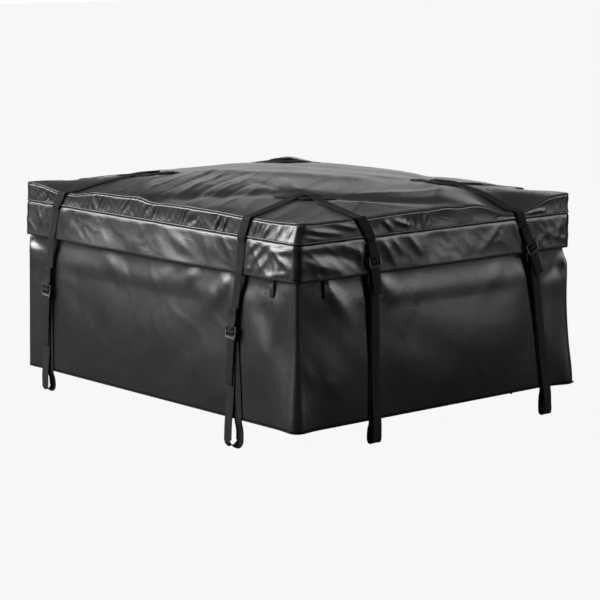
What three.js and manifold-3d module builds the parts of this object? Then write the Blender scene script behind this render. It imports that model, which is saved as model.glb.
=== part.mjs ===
// Roof cargo bag: a soft, coated-fabric luggage bag for a car roof, in millimetres with +Z up.
// The origin is at the centre of the flat underside. The front faces -Y and the right end faces +X.
// Eight webbing straps run from four sewn patches on the lid, over its edge, down each wall to an
// open loop below the base, and back up into a ladder-lock buckle. The lid closes with a zip that
// runs round the front and both ends under a storm flap, and the rear wall is its fabric hinge.

import * as THREE from 'three';
import { mergeVertices } from 'three/addons/utils/BufferGeometryUtils.js';
import Module from 'manifold-3d';

// Overall size
const bagLength = 990;
const bagWidth = 840;
const cornerRadius = 17;
const topEdgeHeight = 448;
const lidCrown = 30;
const baseSeamHeight = 3;
const baseCurl = 46;

// Fabric and fit
const fabric = 2.5;
const gap = 0.3;
const wallInset = 11;
const wallSlopeHeight = 220;
const footFlare = 7;
const footFlareReach = 42;
const footFlareHeight = 70;
const cornerLean = 13;
const cornerLeanAlong = 80;
const cornerLeanDeep = 60;
const lidDroop = 6;
const lidDroopReach = 120;
const strapDipAlong = 62;
const strapDipInward = 80;
const flapStandOff = 4.5;

// Lid band, storm flap and their trims
const bandSeamHeight = 403;
const hemHeight = 322;
const hemBinding = 6;
const bindingProud = 0.9;
const pipingRadius = 1.9;
const cornerTapeThickness = 1;

// Zip
const zipHeight = 343;
const zipTapeThickness = 0.8;
const zipTapeHeight = 13;
const coilDepth = 2.6;
const coilHeight = 3.3;
const coilSplit = 2.6;
const zipEndSetback = 30;
const sliderLength = 16;
const sliderPlate = 1;
const sliderFromCorner = 88;
const bridgeWidth = 2;
const pegRadius = 1.8;
const pegHeadRadius = 3.8;
const pegHead = 0.8;
const pullThickness = 2.2;
const pullWidth = 13;
const pullLength = 66;
const pullTabLength = 38;

// Webbing straps
const strapWidth = 25;
const strapThickness = 1.6;
const strapOnLid = 0.7;
const strapOverEdge = 1.7;
const strapPastPatch = 22;
const lidRunSteps = 7;
const tabStitchGap = 19;
const tabStitchLength = 22;
const strapUpperHeight = 235;
const driftEase = 0.6;
const loopOpening = 13;

// Ladder-lock buckles
const buckleHeight = 29;
const buckleRail = 4;
const buckleSideGap = 1;
const barRadius = 2;
const lipHeight = 7;
const lipThickness = 3;
const lipRibs = 3;

// Lid patches: centre measured in from the two adjoining edges
const patchFromEnd = 217;
const patchFromFront = 212;
const patchLength = 102;
const patchWidth = 98;
const patchThickness = 1.4;
const patchOnLid = 0.3;

// Mesh density
const longSideSteps = 18;
const shortSideSteps = 15;
const halfCornerSteps = 2;
const wallRows = 4;
const lidStepsX = 22;
const lidStepsY = 18;
const roundSteps = 20;

const halfLength = bagLength / 2;
const halfWidth = bagWidth / 2;

// Each side runs from its start corner to its end corner, anticlockwise seen from above.
const sides = {
  front: { turn: 0, length: bagLength, out: halfWidth },
  right: { turn: 1, length: bagWidth, out: halfLength },
  rear: { turn: 2, length: bagLength, out: halfWidth },
  left: { turn: 3, length: bagWidth, out: halfLength },
};
const sideNames = Object.keys(sides);

// Straps: distances from the named corner at the lid edge, band seam, flap hem, upper wall, base and loop,
// then the buckle's centre height, the tail below the buckle, the loop's depth, the lid's dip, and how far
// the front strand drifts from the corner at the loop.
const strapSpecs = [
  { name: 'front_right', side: 'front', from: 'end', along: [158, 177, 187, 201, 189, 190],
    buckle: 193, tail: 102, loop: 56, dip: 2, level: 0, drift: 28 },
  { name: 'front_left', side: 'front', from: 'start', along: [169, 132, 110, 98, 97, 98],
    buckle: 197, tail: 120, loop: 44, dip: 13, level: 0, drift: -13 },
  { name: 'right_front', side: 'right', from: 'start', along: [176, 206, 216, 217, 218, 218],
    buckle: 350, tail: 60, loop: 48, dip: 3, level: 1, drift: 7 },
  { name: 'right_rear', side: 'right', from: 'end', along: [185, 170, 134, 117, 84, 80],
    buckle: 334, tail: 55, loop: 62, dip: 30, level: 1, drift: -6 },
  { name: 'rear_right', side: 'rear', from: 'start', along: [165, 176, 186, 188, 188, 188],
    buckle: 240, tail: 80, loop: 54, dip: 6, level: 0, drift: 10 },
  { name: 'rear_left', side: 'rear', from: 'end', along: [165, 174, 184, 186, 186, 186],
    buckle: 250, tail: 76, loop: 50, dip: 5, level: 0, drift: -8 },
  { name: 'left_rear', side: 'left', from: 'start', along: [172, 182, 190, 194, 194, 194],
    buckle: 300, tail: 64, loop: 52, dip: 5, level: 1, drift: 8 },
  { name: 'left_front', side: 'left', from: 'end', along: [170, 178, 184, 188, 188, 188],
    buckle: 290, tail: 66, loop: 50, dip: 6, level: 1, drift: 10 },
];

// Creases pressed into the lid: start and end as shares of the half sizes, width and height in mm.
const lidCreases = [
  { from: [0.55, -0.5], to: [0.98, -0.98], width: 34, height: 6 },
  { from: [0.5, -0.45], to: [0.0, -0.95], width: 38, height: -5 },
  { from: [0.62, -0.4], to: [0.98, 0.1], width: 36, height: -5 },
  { from: [0.6, 0.42], to: [0.98, 0.05], width: 34, height: 5 },
  { from: [0.55, 0.52], to: [0.05, 0.95], width: 40, height: -5 },
  { from: [-0.55, -0.5], to: [-0.1, -0.95], width: 36, height: 5 },
  { from: [-0.58, -0.48], to: [-0.98, -0.2], width: 34, height: -4 },
  { from: [-0.55, 0.5], to: [-0.98, 0.95], width: 38, height: 5 },
  { from: [0.3, 0.1], to: [-0.35, -0.25], width: 44, height: 4 },
  { from: [-0.3, 0.35], to: [0.35, 0.6], width: 42, height: -4 },
];

// Creases in the walls: start and end as shares of the side and of the wall's height.
const wallCreases = {
  front: [
    { from: [0.84, 0.8], to: [0.98, 0.1], width: 34, height: -4 },
    { from: [0.74, 0.7], to: [0.5, 0.2], width: 46, height: -3 },
    { from: [0.14, 0.75], to: [0.4, 0.25], width: 48, height: -3 },
  ],
  right: [
    { from: [0.04, 0.85], to: [0.2, 0.3], width: 36, height: -4 },
    { from: [0.3, 0.75], to: [0.62, 0.35], width: 46, height: -3 },
    { from: [0.92, 0.8], to: [0.8, 0.15], width: 40, height: -4 },
  ],
  rear: [
    { from: [0.2, 0.75], to: [0.45, 0.25], width: 46, height: -3 },
    { from: [0.8, 0.75], to: [0.6, 0.3], width: 46, height: -3 },
  ],
  left: [
    { from: [0.2, 0.75], to: [0.42, 0.3], width: 44, height: -3 },
    { from: [0.82, 0.7], to: [0.62, 0.25], width: 44, height: -3 },
  ],
};

const wasm = await Module();
wasm.setup();

// Materials

const material = (color, roughness, metalness = 0) =>
  new THREE.MeshStandardMaterial({ color, roughness, metalness, flatShading: true });
const coatedFabric = material(0x17181a, 0.42);
const trimTape = material(0x0c0c0d, 0.7);
const webbing = material(0x0e0e10, 0.85);
const mouldedPlastic = material(0x0b0b0c, 0.45);
const zipTape = material(0x111113, 0.85);
const sliderMetal = material(0x1a1a1c, 0.4, 0.8);

// Geometry helpers

// Joins a row of closed loops into one body. An open row gets an end cap at each end, which is a
// ladder between the first half of the loop and the second half run backwards.
function loft(loops, closed = false) {
  const size = loops[0].length;
  const triangles = [];
  const spans = closed ? loops.length : loops.length - 1;
  for (let j = 0; j < spans; j += 1) {
    const next = (j + 1) % loops.length;
    for (let i = 0; i < size; i += 1) {
      const after = (i + 1) % size;
      const a = j * size + i;
      const b = next * size + i;
      const c = next * size + after;
      const d = j * size + after;
      triangles.push([a, b, c], [a, c, d]);
    }
  }
  if (!closed) {
    const last = (loops.length - 1) * size;
    for (let i = 0; i < size / 2 - 1; i += 1) {
      const opposite = size - 1 - i;
      triangles.push([i, i + 1, opposite - 1], [i, opposite - 1, opposite]);
      triangles.push([last + i, last + opposite - 1, last + i + 1]);
      triangles.push([last + i, last + opposite, last + opposite - 1]);
    }
  }
  return solidFrom(loops.flat(), triangles);
}

// Turns points and triangles into a geometry whose faces point outwards.
function solidFrom(points, triangles) {
  let volume = 0;
  for (const [a, b, c] of triangles) {
    volume += points[a].dot(new THREE.Vector3().crossVectors(points[b], points[c]));
  }
  const order = volume < 0 ? triangles.map(([a, b, c]) => [a, c, b]) : triangles;
  const geometry = new THREE.BufferGeometry();
  geometry.setAttribute('position', new THREE.Float32BufferAttribute(points.flatMap((p) => p.toArray()), 3));
  geometry.setIndex(order.flat());
  return geometry;
}

function toManifold(geometry) {
  const bare = geometry.clone();
  bare.deleteAttribute('normal');
  bare.deleteAttribute('uv');
  const merged = mergeVertices(bare, 1e-4);
  return new wasm.Manifold(new wasm.Mesh({
    numProp: 3,
    vertProperties: new Float32Array(merged.attributes.position.array),
    triVerts: new Uint32Array(merged.index.array),
  }));
}

function joined(geometries) {
  const solid = geometries.map(toManifold).reduce((sum, piece) => sum.add(piece));
  const mesh = solid.getMesh();
  const geometry = new THREE.BufferGeometry();
  geometry.setAttribute('position', new THREE.BufferAttribute(new Float32Array(mesh.vertProperties), 3));
  geometry.setIndex(new THREE.BufferAttribute(new Uint32Array(mesh.triVerts), 1));
  return geometry;
}

function addMesh(parent, name, geometry, finish) {
  const mesh = new THREE.Mesh(geometry, finish);
  mesh.name = name;
  parent.add(mesh);
  return mesh;
}

const smoothStep = (value) => THREE.MathUtils.smoothstep(value, 0, 1);
const bell = (distance, spread) => Math.exp(-((distance / spread) ** 2));

// A crease's height at a point: it follows a straight line and fades out past both ends.
function creaseAt(crease, x, y, scaleX, scaleY) {
  const start = new THREE.Vector2(crease.from[0] * scaleX, crease.from[1] * scaleY);
  const run = new THREE.Vector2(crease.to[0] * scaleX, crease.to[1] * scaleY).sub(start);
  const offset = new THREE.Vector2(x, y).sub(start);
  const share = THREE.MathUtils.clamp(offset.dot(run) / run.lengthSq(), 0, 1);
  const distance = offset.sub(run.multiplyScalar(share)).length();
  return crease.height * bell(distance, crease.width);
}

// Frames: a side's own frame has x along the side from its middle, y inwards and z up.

function toRow(sideName, x, y, z) {
  const side = sides[sideName];
  const angle = (side.turn * Math.PI) / 2;
  return new THREE.Vector3(x, y - side.out, z).applyAxisAngle(new THREE.Vector3(0, 0, 1), angle);
}

const sideGroups = Object.fromEntries(sideNames.map((name) => {
  const group = new THREE.Group();
  group.rotation.z = (sides[name].turn * Math.PI) / 2;
  group.position.copy(toRow(name, 0, 0, 0));
  return [name, group];
}));

// Where a strap is along its side, from the side's middle, for a distance from its own corner.
function strapX(spec, distance) {
  const half = sides[spec.side].length / 2;
  return spec.from === 'end' ? half - distance : distance - half;
}

// The strap's place along the side at a height, through its five measured places.
function strapXAt(spec, z) {
  const heights = [topEdgeHeight, bandSeamHeight, hemHeight, strapUpperHeight, baseSeamHeight, -spec.loop];
  let distance = spec.along[0];
  for (let i = 1; i < heights.length; i += 1) {
    const share = THREE.MathUtils.clamp((heights[i - 1] - z) / (heights[i - 1] - heights[i]), 0, 1);
    distance += (spec.along[i] - spec.along[i - 1]) * share;
  }
  return strapX(spec, distance);
}

// A strap's front strand, which drifts sideways from the rear one below the tab's stitches.
function frontXAt(spec, z) {
  const tabFoot = spec.buckle + buckleHeight / 2 + tabStitchGap;
  const share = THREE.MathUtils.clamp((tabFoot - z) / (tabFoot + spec.loop), 0, 1) ** driftEase;
  const turn = spec.from === 'end' ? -1 : 1;
  return strapXAt(spec, z) + turn * spec.drift * share;
}

// Stations round the outline: a point, its outward normal and where it is on its side.
function sideStations(sideName) {
  const side = sides[sideName];
  const steps = side.length === bagLength ? longSideSteps : shortSideSteps;
  const straight = side.length / 2 - cornerRadius;
  const stations = [];
  const add = (x, y, tilt) => {
    const normal = new THREE.Vector3(Math.sin(tilt), -Math.cos(tilt), 0);
    normal.applyAxisAngle(new THREE.Vector3(0, 0, 1), (side.turn * Math.PI) / 2);
    stations.push({ sideName, x, point: toRow(sideName, x, y, 0), normal });
  };
  const corner = (direction, i) => {
    const tilt = (direction * Math.PI * i) / (4 * halfCornerSteps);
    const reach = straight + cornerRadius * Math.abs(Math.sin(tilt));
    add(direction * reach, cornerRadius * (1 - Math.cos(tilt)), tilt);
  };
  for (let i = halfCornerSteps; i > 0; i -= 1) corner(-1, i);
  for (let i = 0; i <= steps; i += 1) add(-straight + (2 * straight * i) / steps, 0, 0);
  for (let i = 1; i <= halfCornerSteps; i += 1) corner(1, i);
  return stations;
}

const ringStations = sideNames.flatMap((name) => sideStations(name).slice(0, -1));

function placeAt(station, out, z) {
  return station.point.clone().addScaledVector(station.normal, out).setZ(z);
}

// Lid surface

// How deep the straps press the lid's edge near a point of the outline or the lid.
function strapDip(x, y) {
  let dip = 0;
  for (const spec of strapSpecs) {
    const edge = toRow(spec.side, strapX(spec, spec.along[0]), 0, 0);
    const alongX = sides[spec.side].turn % 2 === 0;
    const along = Math.max(Math.abs(alongX ? x - edge.x : y - edge.y) - strapWidth, 0);
    const inward = Math.abs(alongX ? y - edge.y : x - edge.x);
    dip += spec.dip * bell(along, strapDipAlong) * bell(inward, strapDipInward);
  }
  return dip;
}

function lidHeight(x, y) {
  const across = 1 - Math.min(Math.abs(x) / halfLength, 1) ** 2.4;
  const deep = 1 - Math.min(Math.abs(y) / halfWidth, 1) ** 2.4;
  const droop = lidDroop * bell(y, halfWidth * 0.7) * bell(x + halfLength, lidDroopReach);
  let height = topEdgeHeight + lidCrown * across * deep - strapDip(x, y) - droop;
  for (const crease of lidCreases) height += creaseAt(crease, x, y, halfLength, halfWidth);
  return height;
}

const lidMargin = 2 * pipingRadius + 3 * gap;
const lidX = (i) => (halfLength - lidMargin) * ((2 * i) / lidStepsX - 1);
const lidY = (i) => (halfWidth - lidMargin) * ((2 * i) / lidStepsY - 1);

// The height of the lid's own facets, which straps and patches lie on.
function facetHeight(x, y) {
  const u = THREE.MathUtils.clamp((x / (halfLength - lidMargin) + 1) / 2, 0, 1) * lidStepsX;
  const v = THREE.MathUtils.clamp((y / (halfWidth - lidMargin) + 1) / 2, 0, 1) * lidStepsY;
  const i = Math.min(Math.floor(u), lidStepsX - 1);
  const j = Math.min(Math.floor(v), lidStepsY - 1);
  const a = lidHeight(lidX(i), lidY(j));
  const b = lidHeight(lidX(i + 1), lidY(j));
  const c = lidHeight(lidX(i + 1), lidY(j + 1));
  const d = lidHeight(lidX(i), lidY(j + 1));
  const fu = u - i;
  const fv = v - j;
  return fu >= fv ? a + fu * (b - a) + fv * (c - b) : a + fv * (d - a) + fu * (c - d);
}

// How far the lid's near corner leans in from the front at its top edge.
function nearCornerLean(x, y) {
  return cornerLean * bell(x - halfLength, cornerLeanAlong) * bell(y + halfWidth, cornerLeanDeep);
}

// Pulls a point of the lid inside the rounded corner of the outline.
function insideCorner(x, y) {
  const centreX = Math.sign(x) * (halfLength - cornerRadius);
  const centreY = Math.sign(y) * (halfWidth - cornerRadius);
  const offset = new THREE.Vector2(x - centreX, y - centreY);
  const inCorner = Math.abs(x) > halfLength - cornerRadius && Math.abs(y) > halfWidth - cornerRadius;
  if (!inCorner) return new THREE.Vector2(x, y);
  offset.clampLength(0, cornerRadius - lidMargin);
  return offset.add(new THREE.Vector2(centreX, centreY));
}

function makeLidTop() {
  const loops = [];
  for (let i = 0; i <= lidStepsX; i += 1) {
    const upper = [];
    const lower = [];
    for (let j = 0; j <= lidStepsY; j += 1) {
      const place = insideCorner(lidX(i), lidY(j));
      const z = lidHeight(lidX(i), lidY(j));
      const y = place.y + nearCornerLean(place.x, place.y);
      upper.push(new THREE.Vector3(place.x, y, z));
      lower.unshift(new THREE.Vector3(place.x, y, z - fabric));
    }
    loops.push([...upper, ...lower]);
  }
  return loft(loops);
}

// Walls and base

const tapeFoot = zipHeight - coilSplit / 2 - coilHeight - zipTapeHeight;

// The wall's own place below the flap: it slopes in towards the zip, and its foot flares at corners.
function wallOut(station, z) {
  const side = sides[station.sideName];
  const rise = Math.min((z - baseSeamHeight) / (tapeFoot - baseSeamHeight), 1);
  const toCorner = side.length / 2 - Math.abs(station.x);
  const flare = footFlare * bell(toCorner, footFlareReach) * bell(z - baseSeamHeight, footFlareHeight);
  const inset = wallInset * smoothStep((z - baseSeamHeight) / wallSlopeHeight);
  const calm = smoothStep(toCorner / 60) * Math.sin(Math.PI * rise);
  let crease = 0;
  for (const fold of wallCreases[station.sideName]) {
    const along = station.x + side.length / 2;
    crease += creaseAt(fold, along, z, side.length, tapeFoot);
  }
  return flare - inset + crease * calm;
}

function makeWall(sideName, top) {
  const stations = sideStations(sideName);
  const ends = [stations[0], stations.at(-1)];
  const along = new THREE.Vector3(1, 0, 0);
  along.applyAxisAngle(new THREE.Vector3(0, 0, 1), (sides[sideName].turn * Math.PI) / 2);
  const loops = stations.map((station) => {
    const outer = [];
    const inner = [];
    const shift = station === ends[0] ? gap / 2 : station === ends[1] ? -gap / 2 : 0;
    for (let row = 0; row <= wallRows + 1; row += 1) {
      const z = row > wallRows ? top : baseSeamHeight + ((tapeFoot - baseSeamHeight) * row) / wallRows;
      const out = wallOut(station, z);
      outer.push(placeAt(station, out, z).addScaledVector(along, shift));
      inner.unshift(placeAt(station, out - fabric, z).addScaledVector(along, shift));
    }
    return [...outer, ...inner];
  });
  return loft(loops);
}

// The base lies flat in the middle and curls up to the bottom seam round its edge.
function makeBase() {
  const reach = (half) => half - fabric - gap;
  const cuts = (half) => {
    const flat = reach(half) - baseCurl;
    return [-reach(half), -flat - baseCurl / 2, -flat, 0, flat, flat + baseCurl / 2, reach(half)];
  };
  const rise = (x, y) => {
    const pastX = Math.max(Math.abs(x) - (reach(halfLength) - baseCurl), 0);
    const pastY = Math.max(Math.abs(y) - (reach(halfWidth) - baseCurl), 0);
    return baseSeamHeight * smoothStep(Math.max(pastX, pastY) / baseCurl);
  };
  const loops = cuts(halfLength).map((x) => {
    const lower = [];
    const upper = [];
    for (const y of cuts(halfWidth)) {
      const place = insideCorner(x, y);
      lower.push(new THREE.Vector3(place.x, place.y, rise(x, y)));
      upper.unshift(new THREE.Vector3(place.x, place.y, rise(x, y) + fabric));
    }
    return [...lower, ...upper];
  });
  return loft(loops);
}

// Lid band, storm flap and trims

// Gathers of the lid band, pressed inwards between its two seams.
function bandGather(station, share) {
  const turn = sides[station.sideName].turn;
  const waves = 0.5 + 0.3 * Math.sin(station.x / 17 + turn) + 0.2 * Math.sin(station.x / 31 + 2 * turn);
  return -4.5 * waves * Math.sin(Math.PI * share);
}

const edgeHeight = (station) => lidHeight(station.point.x, station.point.y);

function leanShift(station, share) {
  return nearCornerLean(station.point.x, station.point.y) * share;
}

function makeLidBand() {
  const rows = 2;
  const foot = bandSeamHeight + pipingRadius + gap;
  const loops = ringStations.map((station) => {
    const outer = [];
    const inner = [];
    for (let row = 0; row <= rows; row += 1) {
      const share = row / rows;
      const z = foot + (edgeHeight(station) - lidMargin - foot) * share;
      const out = bandGather(station, share);
      const shift = leanShift(station, share);
      outer.push(placeAt(station, out, z).add(new THREE.Vector3(0, shift, 0)));
      inner.unshift(placeAt(station, out - fabric, z).add(new THREE.Vector3(0, shift, 0)));
    }
    return [...outer, ...inner];
  });
  return loft(loops, true);
}

// A round cord along the outline, with its middle at the given place and height.
function makePiping(out, heightAt, leanShare) {
  const points = 4;
  const loops = ringStations.map((station) => {
    const loop = [];
    for (let i = 0; i < points; i += 1) {
      const angle = (2 * Math.PI * i) / points;
      const z = heightAt(station) + pipingRadius * Math.sin(angle);
      const place = placeAt(station, out + pipingRadius * Math.cos(angle), z);
      loop.push(place.add(new THREE.Vector3(0, leanShift(station, leanShare), 0)));
    }
    return loop;
  });
  return loft(loops, true);
}

// The flap stands away from the wall a little between the straps.
function flapWave(station, share) {
  const side = sides[station.sideName];
  const toCorner = side.length / 2 - Math.abs(station.x);
  let calm = smoothStep(toCorner / 90);
  for (const spec of strapSpecs) {
    const near = spec.side === station.sideName;
    if (near) calm *= 1 - bell(station.x - strapXAt(spec, hemHeight), 78);
  }
  return flapStandOff * (0.7 + 0.3 * Math.sin(station.x / 46 + side.turn)) * calm * share;
}

function makeFlap(sideName) {
  const rows = 2;
  const top = bandSeamHeight - pipingRadius - gap;
  const foot = hemHeight + hemBinding + gap;
  const stations = sideStations(sideName);
  const ends = [stations[0], stations.at(-1)];
  const along = new THREE.Vector3(1, 0, 0);
  along.applyAxisAngle(new THREE.Vector3(0, 0, 1), (sides[sideName].turn * Math.PI) / 2);
  const loops = stations.map((station) => {
    const outer = [];
    const inner = [];
    const shift = station === ends[0] ? gap / 2 : station === ends[1] ? -gap / 2 : 0;
    for (let row = 0; row <= rows; row += 1) {
      const share = row / rows;
      const z = top + (foot - top) * share;
      const out = flapWave(station, share);
      outer.push(placeAt(station, out, z).addScaledVector(along, shift));
      inner.unshift(placeAt(station, out - fabric, z).addScaledVector(along, shift));
    }
    return [...outer, ...inner];
  });
  return loft(loops);
}

function makeHemBinding() {
  const loops = ringStations.map((station) => {
    const wave = flapWave(station, 1);
    const outer = wave + bindingProud;
    const inner = wave - fabric - gap;
    return [
      placeAt(station, outer, hemHeight),
      placeAt(station, outer, hemHeight + hemBinding),
      placeAt(station, inner, hemHeight + hemBinding),
      placeAt(station, inner, hemHeight),
    ];
  });
  return loft(loops, true);
}

// The tape that binds the flap's corner seam, bent round the middle half of the corner.
function makeCornerTape(turn) {
  const foot = hemHeight + hemBinding + gap;
  const top = bandSeamHeight - pipingRadius - gap;
  const before = sideStations(sideNames[turn]).slice(-2);
  const after = sideStations(sideNames[(turn + 1) % 4])[1];
  const loops = [...before, after].map((station) => [
    placeAt(station, gap, foot),
    placeAt(station, gap, top),
    placeAt(station, gap + cornerTapeThickness, top),
    placeAt(station, gap + cornerTapeThickness, foot),
  ]);
  return loft(loops);
}

// Zip

// The stations of the zip: left end, front and right end, without the rear wall.
function zipStations() {
  const stations = [
    ...sideStations('left').slice(halfCornerSteps, -1),
    ...sideStations('front').slice(0, -1),
    ...sideStations('right').slice(0, -halfCornerSteps),
  ];
  const keep = stations.filter((station, i) => {
    const previous = stations[i - 1];
    const next = stations[i + 1];
    return !previous || !next || !previous.normal.equals(next.normal);
  });
  return keep.map((station, i) => {
    const point = station.point.clone();
    if (i === 0 || i === keep.length - 1) point.y -= zipEndSetback;
    return { ...station, point };
  });
}

// One half of the zip: a tape sewn to the fabric and its row of coil along the split.
function makeZipHalf(direction) {
  const back = -wallInset + gap;
  const front = back + zipTapeThickness;
  const coilBack = back - (coilDepth - zipTapeThickness) / 2;
  const coilFront = coilBack + coilDepth;
  const split = zipHeight + (direction * coilSplit) / 2;
  const coilEnd = split + direction * coilHeight;
  const tapeEnd = coilEnd + direction * zipTapeHeight;
  const loops = zipStations().map((station) => [
    placeAt(station, coilFront, split),
    placeAt(station, coilFront, coilEnd),
    placeAt(station, front, coilEnd),
    placeAt(station, front, tapeEnd),
    placeAt(station, back, tapeEnd),
    placeAt(station, back, coilEnd),
    placeAt(station, coilBack, coilEnd),
    placeAt(station, coilBack, split),
  ]);
  return loft(loops);
}

// The inner band of the lid, from the upper zip tape to the band seam.
function makeLidSkirt() {
  const foot = zipHeight + coilSplit / 2 + coilHeight + gap;
  const top = bandSeamHeight - pipingRadius - gap;
  const loops = zipStations().map((station) => [
    placeAt(station, -wallInset, foot),
    placeAt(station, -wallInset, top),
    placeAt(station, -wallInset - fabric, top),
    placeAt(station, -wallInset - fabric, foot),
  ]);
  return loft(loops);
}

const coilBackOut = -wallInset + gap - (coilDepth - zipTapeThickness) / 2;
const sliderFrontOut = coilBackOut + coilDepth + gap;
const pegStandout = pullThickness + 2 * gap + pegHead;

function plateOutline() {
  const half = sliderLength / 2;
  const high = coilSplit / 2 + coilHeight;
  const shape = new THREE.Shape();
  shape.moveTo(-half, -high * 0.8);
  shape.lineTo(-half * 0.2, -high);
  shape.lineTo(half * 0.7, -high);
  shape.lineTo(half, -high * 0.5);
  shape.lineTo(half, high * 0.5);
  shape.lineTo(half * 0.7, high);
  shape.lineTo(-half * 0.2, high);
  shape.lineTo(-half, high * 0.8);
  return shape;
}

// Extrudes an outline drawn in x and z, from one place outwards to another.
function standingPlate(shape, fromOut, toOut, z) {
  const geometry = new THREE.ExtrudeGeometry(shape, {
    depth: toOut - fromOut, bevelEnabled: false, curveSegments: roundSteps / 2,
  });
  geometry.rotateX(Math.PI / 2);
  geometry.translate(0, -fromOut, z);
  return geometry;
}

// A round pin along the side's outward direction.
function outwardPin(radius, fromOut, toOut, z) {
  const geometry = new THREE.CylinderGeometry(radius, radius, toOut - fromOut, roundSteps);
  geometry.translate(0, -(fromOut + toOut) / 2, z);
  return geometry;
}

function makeSlider() {
  const backPlate = coilBackOut - gap - sliderPlate;
  const bridgeLength = sliderLength * 0.4;
  const bridgeDepth = sliderFrontOut - coilBackOut + 2 * gap + sliderPlate;
  const bridge = new THREE.BoxGeometry(bridgeLength, bridgeDepth, bridgeWidth);
  bridge.translate(0, -(sliderFrontOut + backPlate + sliderPlate) / 2, zipHeight);
  const pegFoot = sliderFrontOut + sliderPlate / 2;
  const pegTop = sliderFrontOut + sliderPlate + pegStandout;
  return joined([
    standingPlate(plateOutline(), sliderFrontOut, sliderFrontOut + sliderPlate, zipHeight),
    standingPlate(plateOutline(), backPlate, backPlate + sliderPlate, zipHeight),
    bridge,
    outwardPin(pegRadius, pegFoot, pegTop - pegHead / 2, zipHeight),
    outwardPin(pegHeadRadius, pegTop - pegHead, pegTop, zipHeight),
  ]);
}

// The pull hangs by its eye on the slider's peg: an eye, a neck and a wide tab with a finger hole.
function makePull() {
  const eyeRadius = pegRadius + 2 * gap + 1.9;
  const neck = pullWidth / 4;
  const half = pullWidth / 2;
  const tabTop = -pullLength + pullTabLength + eyeRadius;
  const shape = new THREE.Shape();
  const neckAngle = Math.asin(neck / eyeRadius);
  shape.absarc(0, 0, eyeRadius, -Math.PI / 2 + neckAngle, (3 * Math.PI) / 2 - neckAngle, false);
  shape.lineTo(-neck, tabTop + neck);
  shape.lineTo(-half, tabTop);
  shape.absarc(0, -pullLength + eyeRadius + half, half, Math.PI, 2 * Math.PI, false);
  shape.lineTo(half, tabTop);
  shape.lineTo(neck, tabTop + neck);
  const eye = new THREE.Path();
  eye.absarc(0, 0, pegRadius + 2 * gap, 0, 2 * Math.PI, true);
  const hole = new THREE.Path();
  hole.absarc(0, tabTop - half * 0.9, half * 0.45, 0, 2 * Math.PI, true);
  shape.holes.push(eye, hole);
  const back = sliderFrontOut + sliderPlate + gap;
  return standingPlate(shape, back, back + pullThickness, zipHeight - gap);
}

// Metal stops that end the zip at both rear corners.
function makeZipStop(end) {
  const stations = zipStations();
  const station = end === 'left' ? stations[0] : stations.at(-1);
  const height = 2 * coilHeight + coilSplit;
  const stopLength = 5;
  const stop = new THREE.BoxGeometry(coilDepth, stopLength, height);
  const centre = placeAt(station, coilBackOut + coilDepth / 2, zipHeight);
  stop.translate(centre.x, centre.y + gap + stopLength / 2, centre.z);
  return stop;
}

// Straps

// Lays a flat ribbon along a route in a side's frame. Each stop of the route has a point and a tilt,
// which is how far the webbing's width is turned from level in the plane of the wall.
function ribbon(route, width, thickness) {
  const loops = route.map(({ point, tilt }, i) => {
    const level = new THREE.Vector3(Math.cos(tilt), 0, -Math.sin(tilt));
    const before = route[Math.max(i - 1, 0)].point;
    const after = route[Math.min(i + 1, route.length - 1)].point;
    const run = new THREE.Vector3().subVectors(after, before).normalize();
    const across = level.clone().addScaledVector(run, -level.dot(run)).normalize();
    const face = new THREE.Vector3().crossVectors(run, across).normalize();
    const corner = (side, layer) => point.clone()
      .addScaledVector(across, (side * width) / 2)
      .addScaledVector(face, (layer * thickness) / 2);
    return [corner(-1, -1), corner(1, -1), corner(1, 1), corner(-1, 1)];
  });
  return loft(loops);
}

const stop = (x, out, z, tilt = 0) => ({ point: new THREE.Vector3(x, -out, z), tilt });

// How far a strap leans from upright where its buckle is.
function buckleTilt(spec) {
  const reach = 10;
  const shift = frontXAt(spec, spec.buckle + reach) - frontXAt(spec, spec.buckle - reach);
  return Math.atan2(shift, 2 * reach);
}

// A stop of the route near the buckle, in line with the leaning strap.
function leaningStop(spec, out, rise) {
  const tilt = buckleTilt(spec);
  const x = frontXAt(spec, spec.buckle) + rise * Math.sin(tilt);
  return stop(x, out, spec.buckle + rise * Math.cos(tilt), tilt);
}

// Distances from the wall to the middle of each layer of webbing.
const rearLayer = strapThickness / 2 + 2 * gap;
const hemLayer = bindingProud + strapThickness / 2 + 2 * gap;
const frontLayer = hemLayer + strapThickness + 2 * gap;
const tailLayer = frontLayer + strapThickness + gap;
const wrapRadius = barRadius + gap + strapThickness / 2;
const barOut = frontLayer + wrapRadius;
const middleBar = 1;
const topBar = buckleHeight / 2 - barRadius - 1;

function patchCentre(spec) {
  const nearCorner = toRow(spec.side, strapX(spec, 0), 0, 0);
  return new THREE.Vector2(
    Math.sign(nearCorner.x) * (halfLength - patchFromEnd),
    Math.sign(nearCorner.y) * (halfWidth - patchFromFront),
  );
}

// The highest facet of the lid within a reach of a point.
function seatAt(x, y, reachX, reachY) {
  let seat = -Infinity;
  for (const dx of [-1, 0, 1]) {
    for (const dy of [-1, 0, 1]) seat = Math.max(seat, facetHeight(x + dx * reachX, y + dy * reachY));
  }
  return seat;
}

const patchStepsX = 5;
const patchStepsY = 4;
const patchCellX = patchLength / patchStepsX;
const patchCellY = patchWidth / patchStepsY;

// Whether a point of the lid is on a patch or within a margin of it.
function onPatch(x, y, margin) {
  const overX = Math.abs(Math.abs(x) - (halfLength - patchFromEnd)) < patchLength / 2 + margin;
  const overY = Math.abs(Math.abs(y) - (halfWidth - patchFromFront)) < patchWidth / 2 + margin;
  return overX && overY;
}

const lidRunReach = (patchFromFront + strapPastPatch) / lidRunSteps;

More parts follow.
